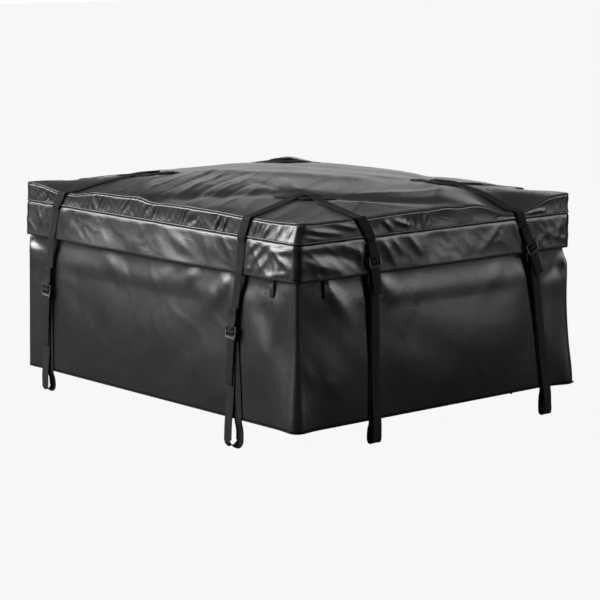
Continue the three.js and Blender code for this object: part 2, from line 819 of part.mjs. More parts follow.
// The height of a strap's middle on the lid, clear of the lid and the patch over its whole width.
function ribbonHeight(spec, x, inward) {
  let seat = -Infinity;
  for (const edge of [-0.5, 0, 0.5]) {
    for (const ahead of [-14, 0, 14]) {
      const row = toRow(spec.side, x + edge * strapWidth, inward + ahead, 0);
      const near = onPatch(row.x, row.y, lidRunReach);
      const patch = seatAt(row.x, row.y, patchCellX, patchCellY) + patchOnLid + patchThickness;
      seat = Math.max(seat, near ? patch : facetHeight(row.x, row.y));
    }
  }
  return seat + strapOnLid + strapThickness / 2;
}

// The strap's run on the lid, from its end on the patch out to the lid's edge.
function lidRun(spec) {
  const centre = patchCentre(spec);
  const side = sides[spec.side];
  const angle = (-side.turn * Math.PI) / 2;
  const local = new THREE.Vector3(centre.x, centre.y, 0).applyAxisAngle(new THREE.Vector3(0, 0, 1), angle);
  const edgeX = strapX(spec, spec.along[0]);
  const endInward = local.y + side.out + strapPastPatch;
  const route = [];
  for (let i = 0; i <= lidRunSteps; i += 1) {
    const inward = endInward + (12 - endInward) * (i / lidRunSteps);
    const x = local.x + (edgeX - local.x) * ((endInward - inward) / endInward);
    const crossing = 1 - smoothStep((endInward - inward - strapPastPatch - strapWidth - 10) / strapWidth);
    const lift = crossing * spec.level * (strapThickness + 2 * strapOnLid + gap);
    route.push(stop(x, -inward, ribbonHeight(spec, x, inward) + lift));
  }
  return route;
}

function edgeSeat(spec) {
  const x = strapX(spec, spec.along[0]);
  let seat = -Infinity;
  for (const offset of [-0.5, 0, 0.5]) {
    const row = toRow(spec.side, x + offset * strapWidth, 0, 0);
    seat = Math.max(seat, lidHeight(row.x, row.y));
  }
  return seat;
}

// Over the piping of the lid's edge, down the band and the flap to the base.
function wallRun(spec) {
  const edge = edgeSeat(spec);
  const bend = pipingRadius + strapThickness / 2 + gap + strapOverEdge;
  const profile = [];
  for (const degrees of [90, 60, 30, 0]) {
    const angle = THREE.MathUtils.degToRad(degrees);
    profile.push([-pipingRadius + bend * Math.cos(angle), edge - pipingRadius + bend * Math.sin(angle)]);
  }
  profile.push(
    [rearLayer + pipingRadius, bandSeamHeight + 4],
    [rearLayer + pipingRadius, bandSeamHeight - 4],
    [rearLayer, bandSeamHeight - 9],
    [rearLayer, hemHeight + hemBinding + 10],
    [hemLayer, hemHeight + hemBinding + 4],
    [hemLayer, hemHeight - 1],
    [rearLayer, hemHeight - 10],
    [rearLayer, strapUpperHeight],
    [rearLayer, baseSeamHeight + 60],
  );
  return profile.map(([out, z]) => stop(strapXAt(spec, z), out, z));
}

// The open loop that hangs below the base: a narrow U from the rear strand over to the front one.
function loopRun(spec) {
  const depth = spec.loop;
  const front = frontLayer + 4.5;
  const back = front - loopOpening;
  const bend = loopOpening / 2;
  const route = [
    [rearLayer, baseSeamHeight + 20, 0],
    [rearLayer, baseSeamHeight - 6, 0],
    [back * 0.5, -depth * 0.3, 0],
    [back, -depth * 0.62, 0.03],
  ];
  for (const share of [0.1, 0.3, 0.5, 0.7, 0.9]) {
    const angle = Math.PI * (1.25 * share + 0.875);
    route.push([back + bend + bend * Math.cos(angle), bend - depth + bend * Math.sin(angle), share]);
  }
  route.push(
    [front, -depth * 0.55, 0.98],
    [front, -depth * 0.2, 1],
    [frontLayer, baseSeamHeight + 50, 1],
  );
  return route.map(([out, z, over]) => {
    const rearX = strapXAt(spec, z);
    return stop(rearX + over * (frontXAt(spec, z) - rearX), out, z);
  });
}

// Up to the buckle, over its middle bar, down behind its lip, and the tail that hangs in front.
function buckleRun(spec) {
  const profile = [[frontLayer, middleBar - 18]];
  for (const degrees of [180, 140, 100, 60, 20, -35]) {
    const angle = THREE.MathUtils.degToRad(degrees);
    profile.push([barOut + wrapRadius * Math.cos(angle), middleBar + wrapRadius * Math.sin(angle)]);
  }
  const lipFoot = -buckleHeight / 2;
  for (const rise of [lipHeight + gap, -4, -spec.tail]) profile.push([tailLayer, lipFoot + rise]);
  return profile.map(([out, rise]) => leaningStop(spec, out, rise));
}

function makeStrap(spec) {
  const route = [...lidRun(spec), ...wallRun(spec), ...loopRun(spec), ...buckleRun(spec)];
  return ribbon(route, strapWidth, strapThickness);
}

// The short webbing that is sewn to the strap above the buckle and goes round its top bar.
function makeTab(spec) {
  const stitchFoot = buckleHeight / 2 + tabStitchGap;
  const end = Math.min(stitchFoot + tabStitchLength, bandSeamHeight - 12 - spec.buckle);
  const inner = hemLayer + strapThickness + gap;
  const outer = inner + strapThickness + gap;
  const profile = [[inner, end], [inner, stitchFoot - 6]];
  for (const degrees of [170, 210, 250, 290, 330, 10]) {
    const angle = THREE.MathUtils.degToRad(degrees);
    profile.push([barOut + wrapRadius * Math.cos(angle), topBar + wrapRadius * Math.sin(angle)]);
  }
  profile.push([outer, stitchFoot - 4], [outer, end]);
  return ribbon(profile.map(([out, rise]) => leaningStop(spec, out, rise)), strapWidth, strapThickness);
}

// One bar of the buckle, drawn as an outline in outward and height, and drawn out along the side.
function barAlongSide(shape, length) {
  const geometry = new THREE.ExtrudeGeometry(shape, { depth: length, bevelEnabled: false, curveSegments: 4 });
  geometry.translate(0, 0, -length / 2);
  const matrix = new THREE.Matrix4().makeBasis(
    new THREE.Vector3(0, -1, 0), new THREE.Vector3(0, 0, 1), new THREE.Vector3(-1, 0, 0),
  );
  return geometry.applyMatrix4(matrix);
}

// Ladder lock: two curved rails, a top bar for the tab, a middle bar for the strap and a ribbed lip.
function makeBuckle() {
  const inside = strapWidth + 2 * buckleSideGap;
  const outside = inside + 2 * buckleRail;
  const low = -buckleHeight / 2;
  const high = buckleHeight / 2;
  const back = barOut - barRadius;
  const lipBack = tailLayer + strapThickness / 2 + gap;
  const lipFront = lipBack + lipThickness;
  const rail = new THREE.Shape();
  rail.moveTo(back + 0.6, high);
  rail.lineTo(back, high - 1.5);
  rail.lineTo(back, low + lipHeight);
  rail.lineTo(lipBack, low + 0.8);
  rail.lineTo(lipBack + 0.8, low);
  rail.lineTo(lipFront, low + 0.6);
  rail.lineTo(lipFront, low + lipHeight);
  rail.lineTo(barOut + barRadius, low + lipHeight + 3);
  rail.lineTo(barOut + barRadius, high - 1);
  rail.lineTo(barOut + barRadius - 0.8, high);
  const lip = new THREE.Shape();
  lip.moveTo(lipBack, low);
  lip.lineTo(lipBack, low + lipHeight);
  lip.lineTo(lipFront, low + lipHeight);
  const pitch = lipHeight / lipRibs;
  for (let i = 0; i < lipRibs; i += 1) {
    const z = low + lipHeight - i * pitch;
    lip.lineTo(lipFront + 0.7, z - pitch * 0.25);
    lip.lineTo(lipFront + 0.7, z - pitch * 0.6);
    lip.lineTo(lipFront, z - pitch * 0.95);
  }
  const bar = (z) => {
    const round = new THREE.Shape();
    round.absarc(barOut, z, barRadius, 0, 2 * Math.PI, false);
    return barAlongSide(round, inside + 2);
  };
  const rails = [-1, 1].map((sign) => {
    const geometry = barAlongSide(rail, buckleRail);
    geometry.translate((sign * (inside + buckleRail)) / 2, 0, 0);
    return geometry;
  });
  const pieces = [...rails, bar(topBar), bar(middleBar), barAlongSide(lip, outside - buckleRail)];
  return joined(pieces);
}

// Patches sewn to the lid, one near each corner.
function makePatch(signX, signY) {
  const centreX = signX * (halfLength - patchFromEnd);
  const centreY = signY * (halfWidth - patchFromFront);
  const loops = [];
  for (let i = 0; i <= patchStepsX; i += 1) {
    const x = centreX + patchCellX * (i - patchStepsX / 2);
    const lower = [];
    const upper = [];
    for (let j = 0; j <= patchStepsY; j += 1) {
      const y = centreY + patchCellY * (j - patchStepsY / 2);
      const z = seatAt(x, y, patchCellX / 2, patchCellY / 2) + patchOnLid;
      lower.push(new THREE.Vector3(x, y, z));
      upper.unshift(new THREE.Vector3(x, y, z + patchThickness));
    }
    loops.push([...lower, ...upper]);
  }
  return loft(loops);
}

// Assembly

const bag = new THREE.Group();
bag.name = 'roof_cargo_bag';
for (const name of sideNames) bag.add(sideGroups[name]);

function addBody() {
  const zipWallTop = zipHeight - coilSplit / 2 - coilHeight - gap;
  addMesh(bag, 'base_panel', makeBase(), coatedFabric);
  for (const name of sideNames) {
    const top = name === 'rear' ? bandSeamHeight - pipingRadius - gap : zipWallTop;
    addMesh(bag, `${name}_wall`, makeWall(name, top), coatedFabric);
  }
}

function addLid() {
  addMesh(bag, 'lid_top', makeLidTop(), coatedFabric);
  addMesh(bag, 'lid_band', makeLidBand(), coatedFabric);
  addMesh(bag, 'lid_skirt', makeLidSkirt(), coatedFabric);
  addMesh(bag, 'top_piping', makePiping(-pipingRadius, (s) => edgeHeight(s) - pipingRadius, 1), trimTape);
  addMesh(bag, 'seam_piping', makePiping(0, () => bandSeamHeight, 0), trimTape);
  for (const name of sideNames) addMesh(bag, `storm_flap_${name}`, makeFlap(name), coatedFabric);
  addMesh(bag, 'hem_binding', makeHemBinding(), trimTape);
  const cornerNames = ['front_right', 'rear_right', 'rear_left', 'front_left'];
  cornerNames.forEach((name, turn) => addMesh(bag, `corner_tape_${name}`, makeCornerTape(turn), trimTape));
}

function addZip() {
  addMesh(bag, 'zip_lower', makeZipHalf(-1), zipTape);
  addMesh(bag, 'zip_upper', makeZipHalf(1), zipTape);
  for (const end of ['left', 'right']) addMesh(bag, `zip_stop_${end}`, makeZipStop(end), sliderMetal);
  const places = { front: halfLength - sliderFromCorner, right: sliderFromCorner - halfWidth };
  for (const [side, x] of Object.entries(places)) {
    const slider = addMesh(sideGroups[side], `zip_slider_${side}`, makeSlider(), sliderMetal);
    const pull = addMesh(sideGroups[side], `zip_pull_${side}`, makePull(), mouldedPlastic);
    slider.position.x = x;
    pull.position.x = x;
  }
}

function addStraps() {
  for (const signX of [1, -1]) {
    for (const signY of [-1, 1]) {
      const name = `lid_patch_${signY < 0 ? 'front' : 'rear'}_${signX > 0 ? 'right' : 'left'}`;
      addMesh(bag, name, makePatch(signX, signY), trimTape);
    }
  }
  for (const spec of strapSpecs) {
    const group = sideGroups[spec.side];
    addMesh(group, `strap_${spec.name}`, makeStrap(spec), webbing);
    addMesh(group, `buckle_tab_${spec.name}`, makeTab(spec), webbing);
    const buckle = addMesh(group, `buckle_${spec.name}`, makeBuckle(), mouldedPlastic);
    buckle.position.set(frontXAt(spec, spec.buckle), 0, spec.buckle);
    buckle.rotation.y = buckleTilt(spec);
  }
}

addBody();
addLid();
addZip();
addStraps();

export default bag;
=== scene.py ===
"""Roof cargo bag of black coated fabric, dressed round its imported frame. Lengths are millimetres until meshed."""

import logging
import math
from dataclasses import dataclass
from enum import Enum

import bmesh
import bpy
import numpy as np
from mathutils import Matrix, Vector


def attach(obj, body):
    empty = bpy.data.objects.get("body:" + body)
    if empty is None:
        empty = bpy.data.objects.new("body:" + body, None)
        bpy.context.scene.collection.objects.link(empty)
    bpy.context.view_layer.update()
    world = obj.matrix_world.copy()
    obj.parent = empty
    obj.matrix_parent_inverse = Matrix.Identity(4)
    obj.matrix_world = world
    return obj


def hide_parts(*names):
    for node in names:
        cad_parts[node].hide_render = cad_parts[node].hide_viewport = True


LOG = logging.getLogger("roof_cargo_bag")
Array = np.ndarray
MM = 0.001
# Cosine and sine of each side's turn from the front.
TURNS = ((1, 0), (0, 1), (-1, 0), (0, -1))

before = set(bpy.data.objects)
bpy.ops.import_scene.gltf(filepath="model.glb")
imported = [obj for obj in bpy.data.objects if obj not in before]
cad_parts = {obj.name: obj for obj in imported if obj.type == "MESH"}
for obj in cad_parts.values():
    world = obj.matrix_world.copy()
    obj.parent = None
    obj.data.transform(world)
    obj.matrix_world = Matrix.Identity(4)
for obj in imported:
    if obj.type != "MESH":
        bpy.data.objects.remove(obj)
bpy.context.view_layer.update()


# Small maths


def bell(distance: Array, spread: float) -> Array:
    """A smooth hump that is 1 at no distance."""
    return np.exp(-((np.asarray(distance, float) / spread) ** 2))


def ease(value: Array) -> Array:
    """Smooth step from 0 to 1."""
    share = np.clip(value, 0.0, 1.0)
    return share * share * (3.0 - 2.0 * share)


def unit(vectors: Array) -> Array:
    """Vectors of length one along the last axis."""
    return vectors / np.maximum(np.linalg.norm(vectors, axis=-1, keepdims=True), 1e-12)


def circle(radius: float, count: int) -> Array:
    """Points of a round profile."""
    angles = np.linspace(0, 2 * np.pi, count + 1)[:-1]
    return np.column_stack([np.cos(angles), np.sin(angles)]) * radius


@dataclass(frozen=True)
class Fold:
    """A fold of the fabric along a straight line, in the panel's own millimetres."""

    start: tuple[float, float]
    end: tuple[float, float]
    width: float
    height: float
    sharpness: float = 2.0

    def at(self, x: Array, y: Array) -> Array:
        """Height of the fold.

        Args:
            x: places along the panel.
            y: places across the panel.

        Returns:
            The fold's height at each place.
        """
        run = np.array(self.end, float) - np.array(self.start, float)
        px, py = x - self.start[0], y - self.start[1]
        share = np.clip((px * run[0] + py * run[1]) / (run @ run), 0.0, 1.0)
        distance = np.hypot(px - share * run[0], py - share * run[1])
        taper = 0.35 + 0.65 * np.sin(np.pi * np.clip(share, 0.05, 0.95))
        return self.height * taper * np.exp(-((distance / self.width) ** self.sharpness))


class WrinkleField:
    """Soft wrinkles made of a few seeded waves."""

    def __init__(self, seed: int, length: float, heading: float = 0.0, spread: float = 3.0,
                 count: int = 16) -> None:
        """Draws the waves.

        Args:
            seed: seed of the draws.
            length: usual distance from crest to crest.
            heading: direction across the wrinkles, in radians.
            spread: how far the directions stray, in radians.
            count: number of waves.
        """
        rng = np.random.default_rng(seed)
        angle = heading + rng.normal(0.0, spread, count)
        wave = 2 * np.pi / (length * rng.uniform(0.65, 1.7, count))
        self.kx, self.ky = wave * np.cos(angle), wave * np.sin(angle)
        self.phase = rng.uniform(0, 2 * np.pi, count)
        self.scale = math.sqrt(2.0 / count)

    def value(self, x: Array, y: Array) -> Array:
        """Height of the waves, about -2 to 2."""
        total = np.zeros_like(x, dtype=float)
        for kx, ky, phase in zip(self.kx, self.ky, self.phase):
            total += np.sin(kx * x + ky * y + phase)
        return total * self.scale

    def ridges(self, x: Array, y: Array) -> Array:
        """Narrow crests between wide, flat valleys, from 0 to 1."""
        return np.exp(-((self.value(x, y) / 0.45) ** 2))


# The bag's form


class Side(Enum):
    """The four sides, anticlockwise seen from above."""

    FRONT = 0
    RIGHT = 1
    REAR = 2
    LEFT = 3


@dataclass(frozen=True)
class StrapPlan:
    """One strap: distances from its corner at six heights, then its buckle, tail, loop and press on the lid.

    The drift is how far the front strand has moved from the corner at the loop.
    """

    name: str
    side: Side
    from_end: bool
    along: tuple[float, float, float, float, float, float]
    buckle: float
    tail: float
    loop: float
    dip: float
    level: int
    drift: float


STRAPS = (
    StrapPlan("front_right", Side.FRONT, True, (158, 177, 187, 201, 189, 190), 193, 102, 56, 2, 0, 28),
    StrapPlan("front_left", Side.FRONT, False, (169, 132, 110, 98, 97, 98), 197, 120, 44, 13, 0, -13),
    StrapPlan("right_front", Side.RIGHT, False, (176, 206, 216, 217, 218, 218), 350, 60, 48, 3, 1, 7),
    StrapPlan("right_rear", Side.RIGHT, True, (185, 170, 134, 117, 84, 80), 334, 55, 62, 30, 1, -6),
    StrapPlan("rear_right", Side.REAR, False, (165, 176, 186, 188, 188, 188), 240, 80, 54, 6, 0, 10),
    StrapPlan("rear_left", Side.REAR, True, (165, 174, 184, 186, 186, 186), 250, 76, 50, 5, 0, -8),
    StrapPlan("left_rear", Side.LEFT, False, (172, 182, 190, 194, 194, 194), 300, 64, 52, 5, 1, 8),
    StrapPlan("left_front", Side.LEFT, True, (170, 178, 184, 188, 188, 188), 290, 66, 50, 6, 1, 10),
)


@dataclass(frozen=True)
class Ring:
    """Stations round the outline."""

    point: Array
    normal: Array
    along: Array
    side: Array
    arc: Array


def with_folds(start: Array, table: "dict[Side, tuple[Fold, ...]]", ring: Ring, z: Array) -> Array:
    """Adds a table's folds to a grid round the outline.

    Args:
        start: the grid before the folds, as rows by stations.
        table: the folds of each side.
        ring: the stations.
        z: heights of the rows, in the table's own measure.

    Returns:
        The grid with the folds.
    """
    x, height = ring.along + 0 * z, z + 0 * ring.along
    for side, folds in table.items():
        here = ring.side == side.value
        for fold in folds:
            start = np.where(here, start + fold.at(x, height), start)
    return start


@dataclass(frozen=True)
class BagForm:
    """Sizes of the bag, and where its surfaces lie."""

    length: float = 990
    width: float = 840
    corner_radius: float = 17
    top_edge: float = 448
    crown: float = 33
    base_seam: float = 3
    base_curl: float = 46
    fabric: float = 2.2
    wall_inset: float = 11
    wall_fill: float = 5
    rear_flare: float = 12
    wall_slope: float = 220
    strap_upper: float = 235
    foot_flare: float = 7
    straight_foot: float = 1.8
    corner_lean: float = 10
    band_seam: float = 403
    hem: float = 322
    binding: float = 6
    piping: float = 1.9
    tape_foot: float = 325.4
    patch_from_end: float = 217
    patch_from_front: float = 212
    patch_length: float = 102
    patch_width: float = 98
    tab_foot: float = 33.5
    drift_ease: float = 0.6
    seam_lift: float = 1.6
    cord_inset: float = 0.7
    foot_reach: float = 42
    rear_reach: float = 56

    @property
    def half_length(self) -> float:
        """Half of the bag's length."""
        return self.length / 2

    @property
    def half_width(self) -> float:
        """Half of the bag's width."""
        return self.width / 2

    def side_half(self, side: int) -> float:
        """Half the length of a side."""
        return self.half_length if side % 2 == 0 else self.half_width

    def side_out(self, side: int) -> float:
        """Distance of a side from the bag's middle."""
        return self.half_width if side % 2 == 0 else self.half_length

    def to_row(self, side: int, x: Array, inward: Array) -> tuple[Array, Array]:
        """Turns a place on a side into the bag's own x and y.

        Args:
            side: number of the side.
            x: place along the side from its middle.
            inward: distance in from the side's line.

        Returns:
            The x and y in the row frame.
        """
        y = inward - self.side_out(side)
        cos, sin = TURNS[side]
        return cos * x - sin * y, sin * x + cos * y

    def ring(self, step: float, corner_steps: int = 4) -> Ring:
        """Stations round the whole outline, closed.

        Args:
            step: distance between stations on the straight runs.
            corner_steps: stations in half of a corner.

        Returns:
            The stations, without a repeat of the first.
        """
        points, normals, along, sides = [], [], [], []
        for side in range(4):
            straight = self.side_half(side) - self.corner_radius
            count = max(2, round(2 * straight / step))
            places = [(-1, i) for i in range(corner_steps, 0, -1)]
            spots = []
            for sign, i in places:
                tilt = sign * math.pi / 4 * i / corner_steps
                spots.append((sign * (straight + self.corner_radius * abs(math.sin(tilt))), tilt))
            spots += [(x, 0.0) for x in np.linspace(-straight, straight, count + 1)]
            for i in range(1, corner_steps):
                tilt = math.pi / 4 * i / corner_steps
                spots.append((straight + self.corner_radius * math.sin(tilt), tilt))
            cos, sin = TURNS[side]
            for x, tilt in spots:
                points.append(self.to_row(side, x, self.corner_radius * (1 - math.cos(tilt))))
                nx, ny = math.sin(tilt), -math.cos(tilt)
                normals.append((cos * nx - sin * ny, sin * nx + cos * ny))
                along.append(x)
                sides.append(side)
        point = np.array(points, float)
        steps = np.linalg.norm(np.roll(point, -1, axis=0) - point, axis=1)
        arc = np.concatenate([[0.0], np.cumsum(steps)])
        return Ring(point, np.array(normals, float), np.array(along, float), np.array(sides), arc)

    def strap_x(self, plan: StrapPlan, z: Array) -> Array:
        """The strap's place along its side at a height."""
        heights = [-self.top_edge, -self.band_seam, -self.hem, -self.strap_upper, -self.base_seam, plan.loop]
        distance = np.interp(-np.asarray(z, float), heights, plan.along)
        half = self.side_half(plan.side.value)
        return half - distance if plan.from_end else distance - half

    def front_x(self, plan: StrapPlan, z: float) -> float:
        """The place of a strap's front strand, which drifts sideways below the tab's stitches."""
        foot = plan.buckle + self.tab_foot
        share = min(max((foot - z) / (foot + plan.loop), 0.0), 1.0) ** self.drift_ease
        return float(self.strap_x(plan, z)) + (-1 if plan.from_end else 1) * plan.drift * share

    def strap_calm(self, side: Array, x: Array, z: Array, reach: float = 12.0) -> Array:
        """How free the fabric is of the straps that hold it: 0 under one, 1 away from all.

        Args:
            side: number of the side at each place.
            x: places along the side.
            z: heights.
            reach: how far from a strap's edge the fabric is free again.

        Returns:
            The share of freedom.
        """
        calm = np.ones(np.broadcast(x, z).shape)
        for plan in STRAPS:
            away = np.maximum(np.abs(x - self.strap_x(plan, z)) - 14.0, 0.0)
            calm = np.where(side == plan.side.value, calm * (1 - bell(away, reach)), calm)
        return calm

    def strap_dip(self, x: Array, y: Array) -> Array:
        """How deep the straps press the lid's edge."""
        dip = np.zeros(np.broadcast(x, y).shape)
        for plan in STRAPS:
            ex, ey = self.to_row(plan.side.value, float(self.strap_x(plan, self.top_edge)), 0.0)
            level = plan.side.value % 2 == 0
            along = np.maximum(np.abs(x - ex if level else y - ey) - 25.0, 0.0)
            inward = np.abs(y - ey if level else x - ex)
            dip = dip + plan.dip * bell(along, 62) * bell(inward, 80)
        return dip

    def lid_base(self, x: Array, y: Array) -> Array:
        """The lid's height without its fine folds."""
        hl, hw = self.half_length, self.half_width
        across = 1 - np.minimum(np.abs(x) / hl, 1) ** 2.4
        deep = 1 - np.minimum(np.abs(y) / hw, 1) ** 2.4
        droop = 6 * bell(y, hw * 0.7) * bell(x + hl, 120) + 7 * bell(x - hl, 90) * bell(y + hw, 76)
        height = self.top_edge + self.crown * across * deep - self.strap_dip(x, y) - droop
        for (x0, y0), (x1, y1), width, rise in LID_CREASES:
            start, run = np.array([x0 * hl, y0 * hw]), np.array([(x1 - x0) * hl, (y1 - y0) * hw])
            px, py = x - start[0], y - start[1]
            share = np.clip((px * run[0] + py * run[1]) / (run @ run), 0, 1)
            height = height + rise * bell(np.hypot(px - share * run[0], py - share * run[1]), width)
        return height

    def lid_margin(self) -> float:
        """How far the lid's fabric stays inside the outline."""
        return 2 * self.piping - self.cord_inset

    def patch_centre(self, sign_x: int, sign_y: int) -> tuple[float, float]:
        """Middle of a patch on the lid."""
        return (sign_x * (self.half_length - self.patch_from_end),
                sign_y * (self.half_width - self.patch_from_front))

    def strap_lid_line(self, plan: StrapPlan) -> tuple[Array, Array]:
        """The strap's straight line on the lid, from its end on the patch to the lid's edge.

        Args:
            plan: the strap.

        Returns:
            Both ends as x and y in the row frame.
        """
        side = plan.side.value
        edge_x = float(self.strap_x(plan, self.top_edge))
        ex, ey = self.to_row(side, edge_x, 0.0)
        nx, ny = self.to_row(side, self.side_half(side) * (1 if plan.from_end else -1), 0.0)
        cx, cy = self.patch_centre(int(math.copysign(1, nx)), int(math.copysign(1, ny)))
        ix, iy = self.to_row(side, 0.0, 1.0)
        ox, oy = self.to_row(side, 0.0, 0.0)
        past = STRAP_PAST_PATCH
        return np.array([cx + (ix - ox) * past, cy + (iy - oy) * past]), np.array([ex, ey], float)

    def lid_calm(self, x: Array, y: Array) -> Array:
        """How free the lid's fabric is of straps, patches and the edge."""
        calm = ease((self.half_length - np.abs(x)) / 34) * ease((self.half_width - np.abs(y)) / 34)
        for plan in STRAPS:
            start, end = self.strap_lid_line(plan)
            run = end - start
            share = np.clip(((x - start[0]) * run[0] + (y - start[1]) * run[1]) / (run @ run), 0, 1)
            away = np.hypot(x - start[0] - share * run[0], y - start[1] - share * run[1])
            calm = calm * (1 - bell(np.maximum(away - 14, 0), 16))
        for sign_x in (-1, 1):
            for sign_y in (-1, 1):
                cx, cy = self.patch_centre(sign_x, sign_y)
                past_x = np.maximum(np.abs(x - cx) - self.patch_length / 2, 0)
                past_y = np.maximum(np.abs(y - cy) - self.patch_width / 2, 0)
                calm = calm * (1 - bell(np.hypot(past_x, past_y), 16))
        return calm

    def lid_fine(self, x: Array, y: Array) -> Array:
        """Fine folds of the lid: long streaks from each patch and soft wrinkles between."""
        front = ease((60 - y) / 260)
        fine = 0.3 * LID_WAVES.value(x, y) + (0.25 + 0.75 * front) * LID_RIDGES.ridges(x, y)
        for fold in LID_FOLDS:
            fine = fine + fold.at(x, y)
        return fine

    def lid_surface(self, x: Array, y: Array) -> Array:
        """The lid's finished height."""
        return self.lid_base(x, y) + self.lid_fine(x, y) * self.lid_calm(x, y)

    def near_lean(self, x: Array, y: Array) -> Array:
        """How far the near corner of the lid leans in from the front."""
        return self.corner_lean * bell(x - self.half_length, 80) * bell(y + self.half_width, 60)

    def inside_corner(self, x: Array, y: Array, margin: float) -> tuple[Array, Array]:
        """Pulls places of a flat panel inside the rounded corners."""
        radius = self.corner_radius
        cx = np.sign(x) * (self.half_length - radius)
        cy = np.sign(y) * (self.half_width - radius)
        dx, dy = x - cx, y - cy
        inside = (np.abs(x) > np.abs(cx)) & (np.abs(y) > np.abs(cy))
        far = np.maximum(np.hypot(dx, dy), 1e-9)
        scale = np.where(inside, np.minimum(1.0, (radius - margin) / far), 1.0)
        return np.where(inside, cx + dx * scale, x), np.where(inside, cy + dy * scale, y)

    def edge_height(self, ring: Ring) -> Array:
        """Height of the lid's edge round the outline."""
        return self.lid_base(ring.point[:, 0], ring.point[:, 1])

    def wall_out(self, ring: Ring, z: Array) -> Array:
        """How far the walls stand out from the outline.

        Args:
            ring: the stations, along the last axis.
            z: heights, as a column.

        Returns:
            A grid of rows by stations.
        """
        half = np.where(ring.side % 2 == 0, self.half_length, self.half_width)
        rise = np.clip((z - self.base_seam) / (self.tape_foot - self.base_seam), 0, 1)
        to_corner = half - np.abs(ring.along)
        flare = self.foot_flare * bell(to_corner, self.foot_reach) * bell(z - self.base_seam, 70)
        corner = flare - self.wall_inset * ease((z - self.base_seam) / self.wall_slope)
        fill = self.wall_fill * np.sin(np.pi * np.clip((z - self.base_seam) / 240, 0, 1))
        tuck = 0.55 * ease((z - 110) / 190) + 0.45 * ease((z - 262) / 56)
        middle = fill * self.strap_calm(ring.side, ring.along, z, 60) - self.wall_inset * tuck
        share = bell(to_corner, 80)
        out = corner * share + middle * (1 - share)
        narrowing = 46 - 32 * ease((z - 285) / 20)
        straight = bell(self.to_corner_of(ring, Side.FRONT) / narrowing, 1.0) * (1 - ease((z - 314) / 12))
        out = out * (1 - straight) + (self.straight_foot - 3.8 * z / 320) * straight
        reach = self.rear_reach - 30 * ease((z - 240) / 40)
        at_rear = bell(self.to_corner_of(ring, Side.REAR) / reach, 1.0)
        out = out + self.rear_flare * at_rear * (1 - ease((z - 280) / 38))
        calm = ease(to_corner / 34) * np.clip(np.minimum(rise * 6, (1 - rise) * 9 + 0.25), 0, 1)
        calm = calm * self.strap_calm(ring.side, ring.along, z, 14)
        folds = with_folds(np.zeros(out.shape), WALL_FOLDS, ring, z)
        arc = ring.arc[:-1] + 0 * z
        soft = (0.55 * WALL_WAVES.value(arc, z * 0.8 + 0 * arc)
                + 0.5 * (WALL_RIDGES.ridges(arc, z + 0 * arc) - 0.4))
        soft = soft * np.where(ring.side == Side.RIGHT.value, 0.4, 1.0)
        return out + (folds + soft) * calm

    def to_corner_of(self, ring: Ring, side: Side) -> Array:
        """Distance of each station from the start corner of the front or the rear side.

        Args:
            ring: the stations.
            side: the side that starts at the corner; the side before it ends there.

        Returns:
            The distances, large on the other sides.
        """
        before = (side.value - 1) % 4
        after = np.where(ring.side == side.value, ring.along + self.side_half(side.value), 1e4)
        return np.where(ring.side == before, self.side_half(before) - ring.along, after)

    def flap_out(self, ring: Ring, z: Array) -> Array:
        """How far the storm flap stands out from the outline, as a grid of rows by stations."""
        half = np.where(ring.side % 2 == 0, self.half_length, self.half_width)
        to_corner = half - np.abs(ring.along)
        share = np.clip((self.band_seam - z) / (self.band_seam - self.hem), 0, 1)
        calm = ease(to_corner / 90) + 0 * z
        for plan in STRAPS:
            near = bell(ring.along - self.strap_x(plan, self.hem), 78)
            calm = np.where(ring.side == plan.side.value, calm * (1 - near), calm)
        hang = np.where(ring.side == Side.FRONT.value, 9.5, 6.0)
        out = hang * (0.75 + 0.25 * np.sin(ring.along / 46 + ring.side)) * calm * share**1.4
        out = out + 3.0 * bell(self.to_corner_of(ring, Side.FRONT), 30) * share
        out = out - 1.6 * bell(np.maximum(self.band_seam - 3.0 - z, 0), 2.4)
        free = (self.strap_calm(ring.side, ring.along, z, 10) * ease(to_corner / 12)
                * ease((self.band_seam - 3 - z) / 7))
        folds = with_folds(np.zeros(out.shape), FLAP_FOLDS, ring, z)
        arc = ring.arc[:-1] + 0 * z
        rough = 0.3 + 0.8 * bell(to_corner, 170)
        body = np.sin(np.pi * np.clip(share, 0, 1)) ** 0.6
        soft = (1.5 * (FLAP_RIDGES.ridges(arc, z + 0 * arc) - 0.35) * rough
                + 0.5 * FLAP_WAVES.value(arc, z + 0 * arc))
        return out + (folds + soft * body) * free

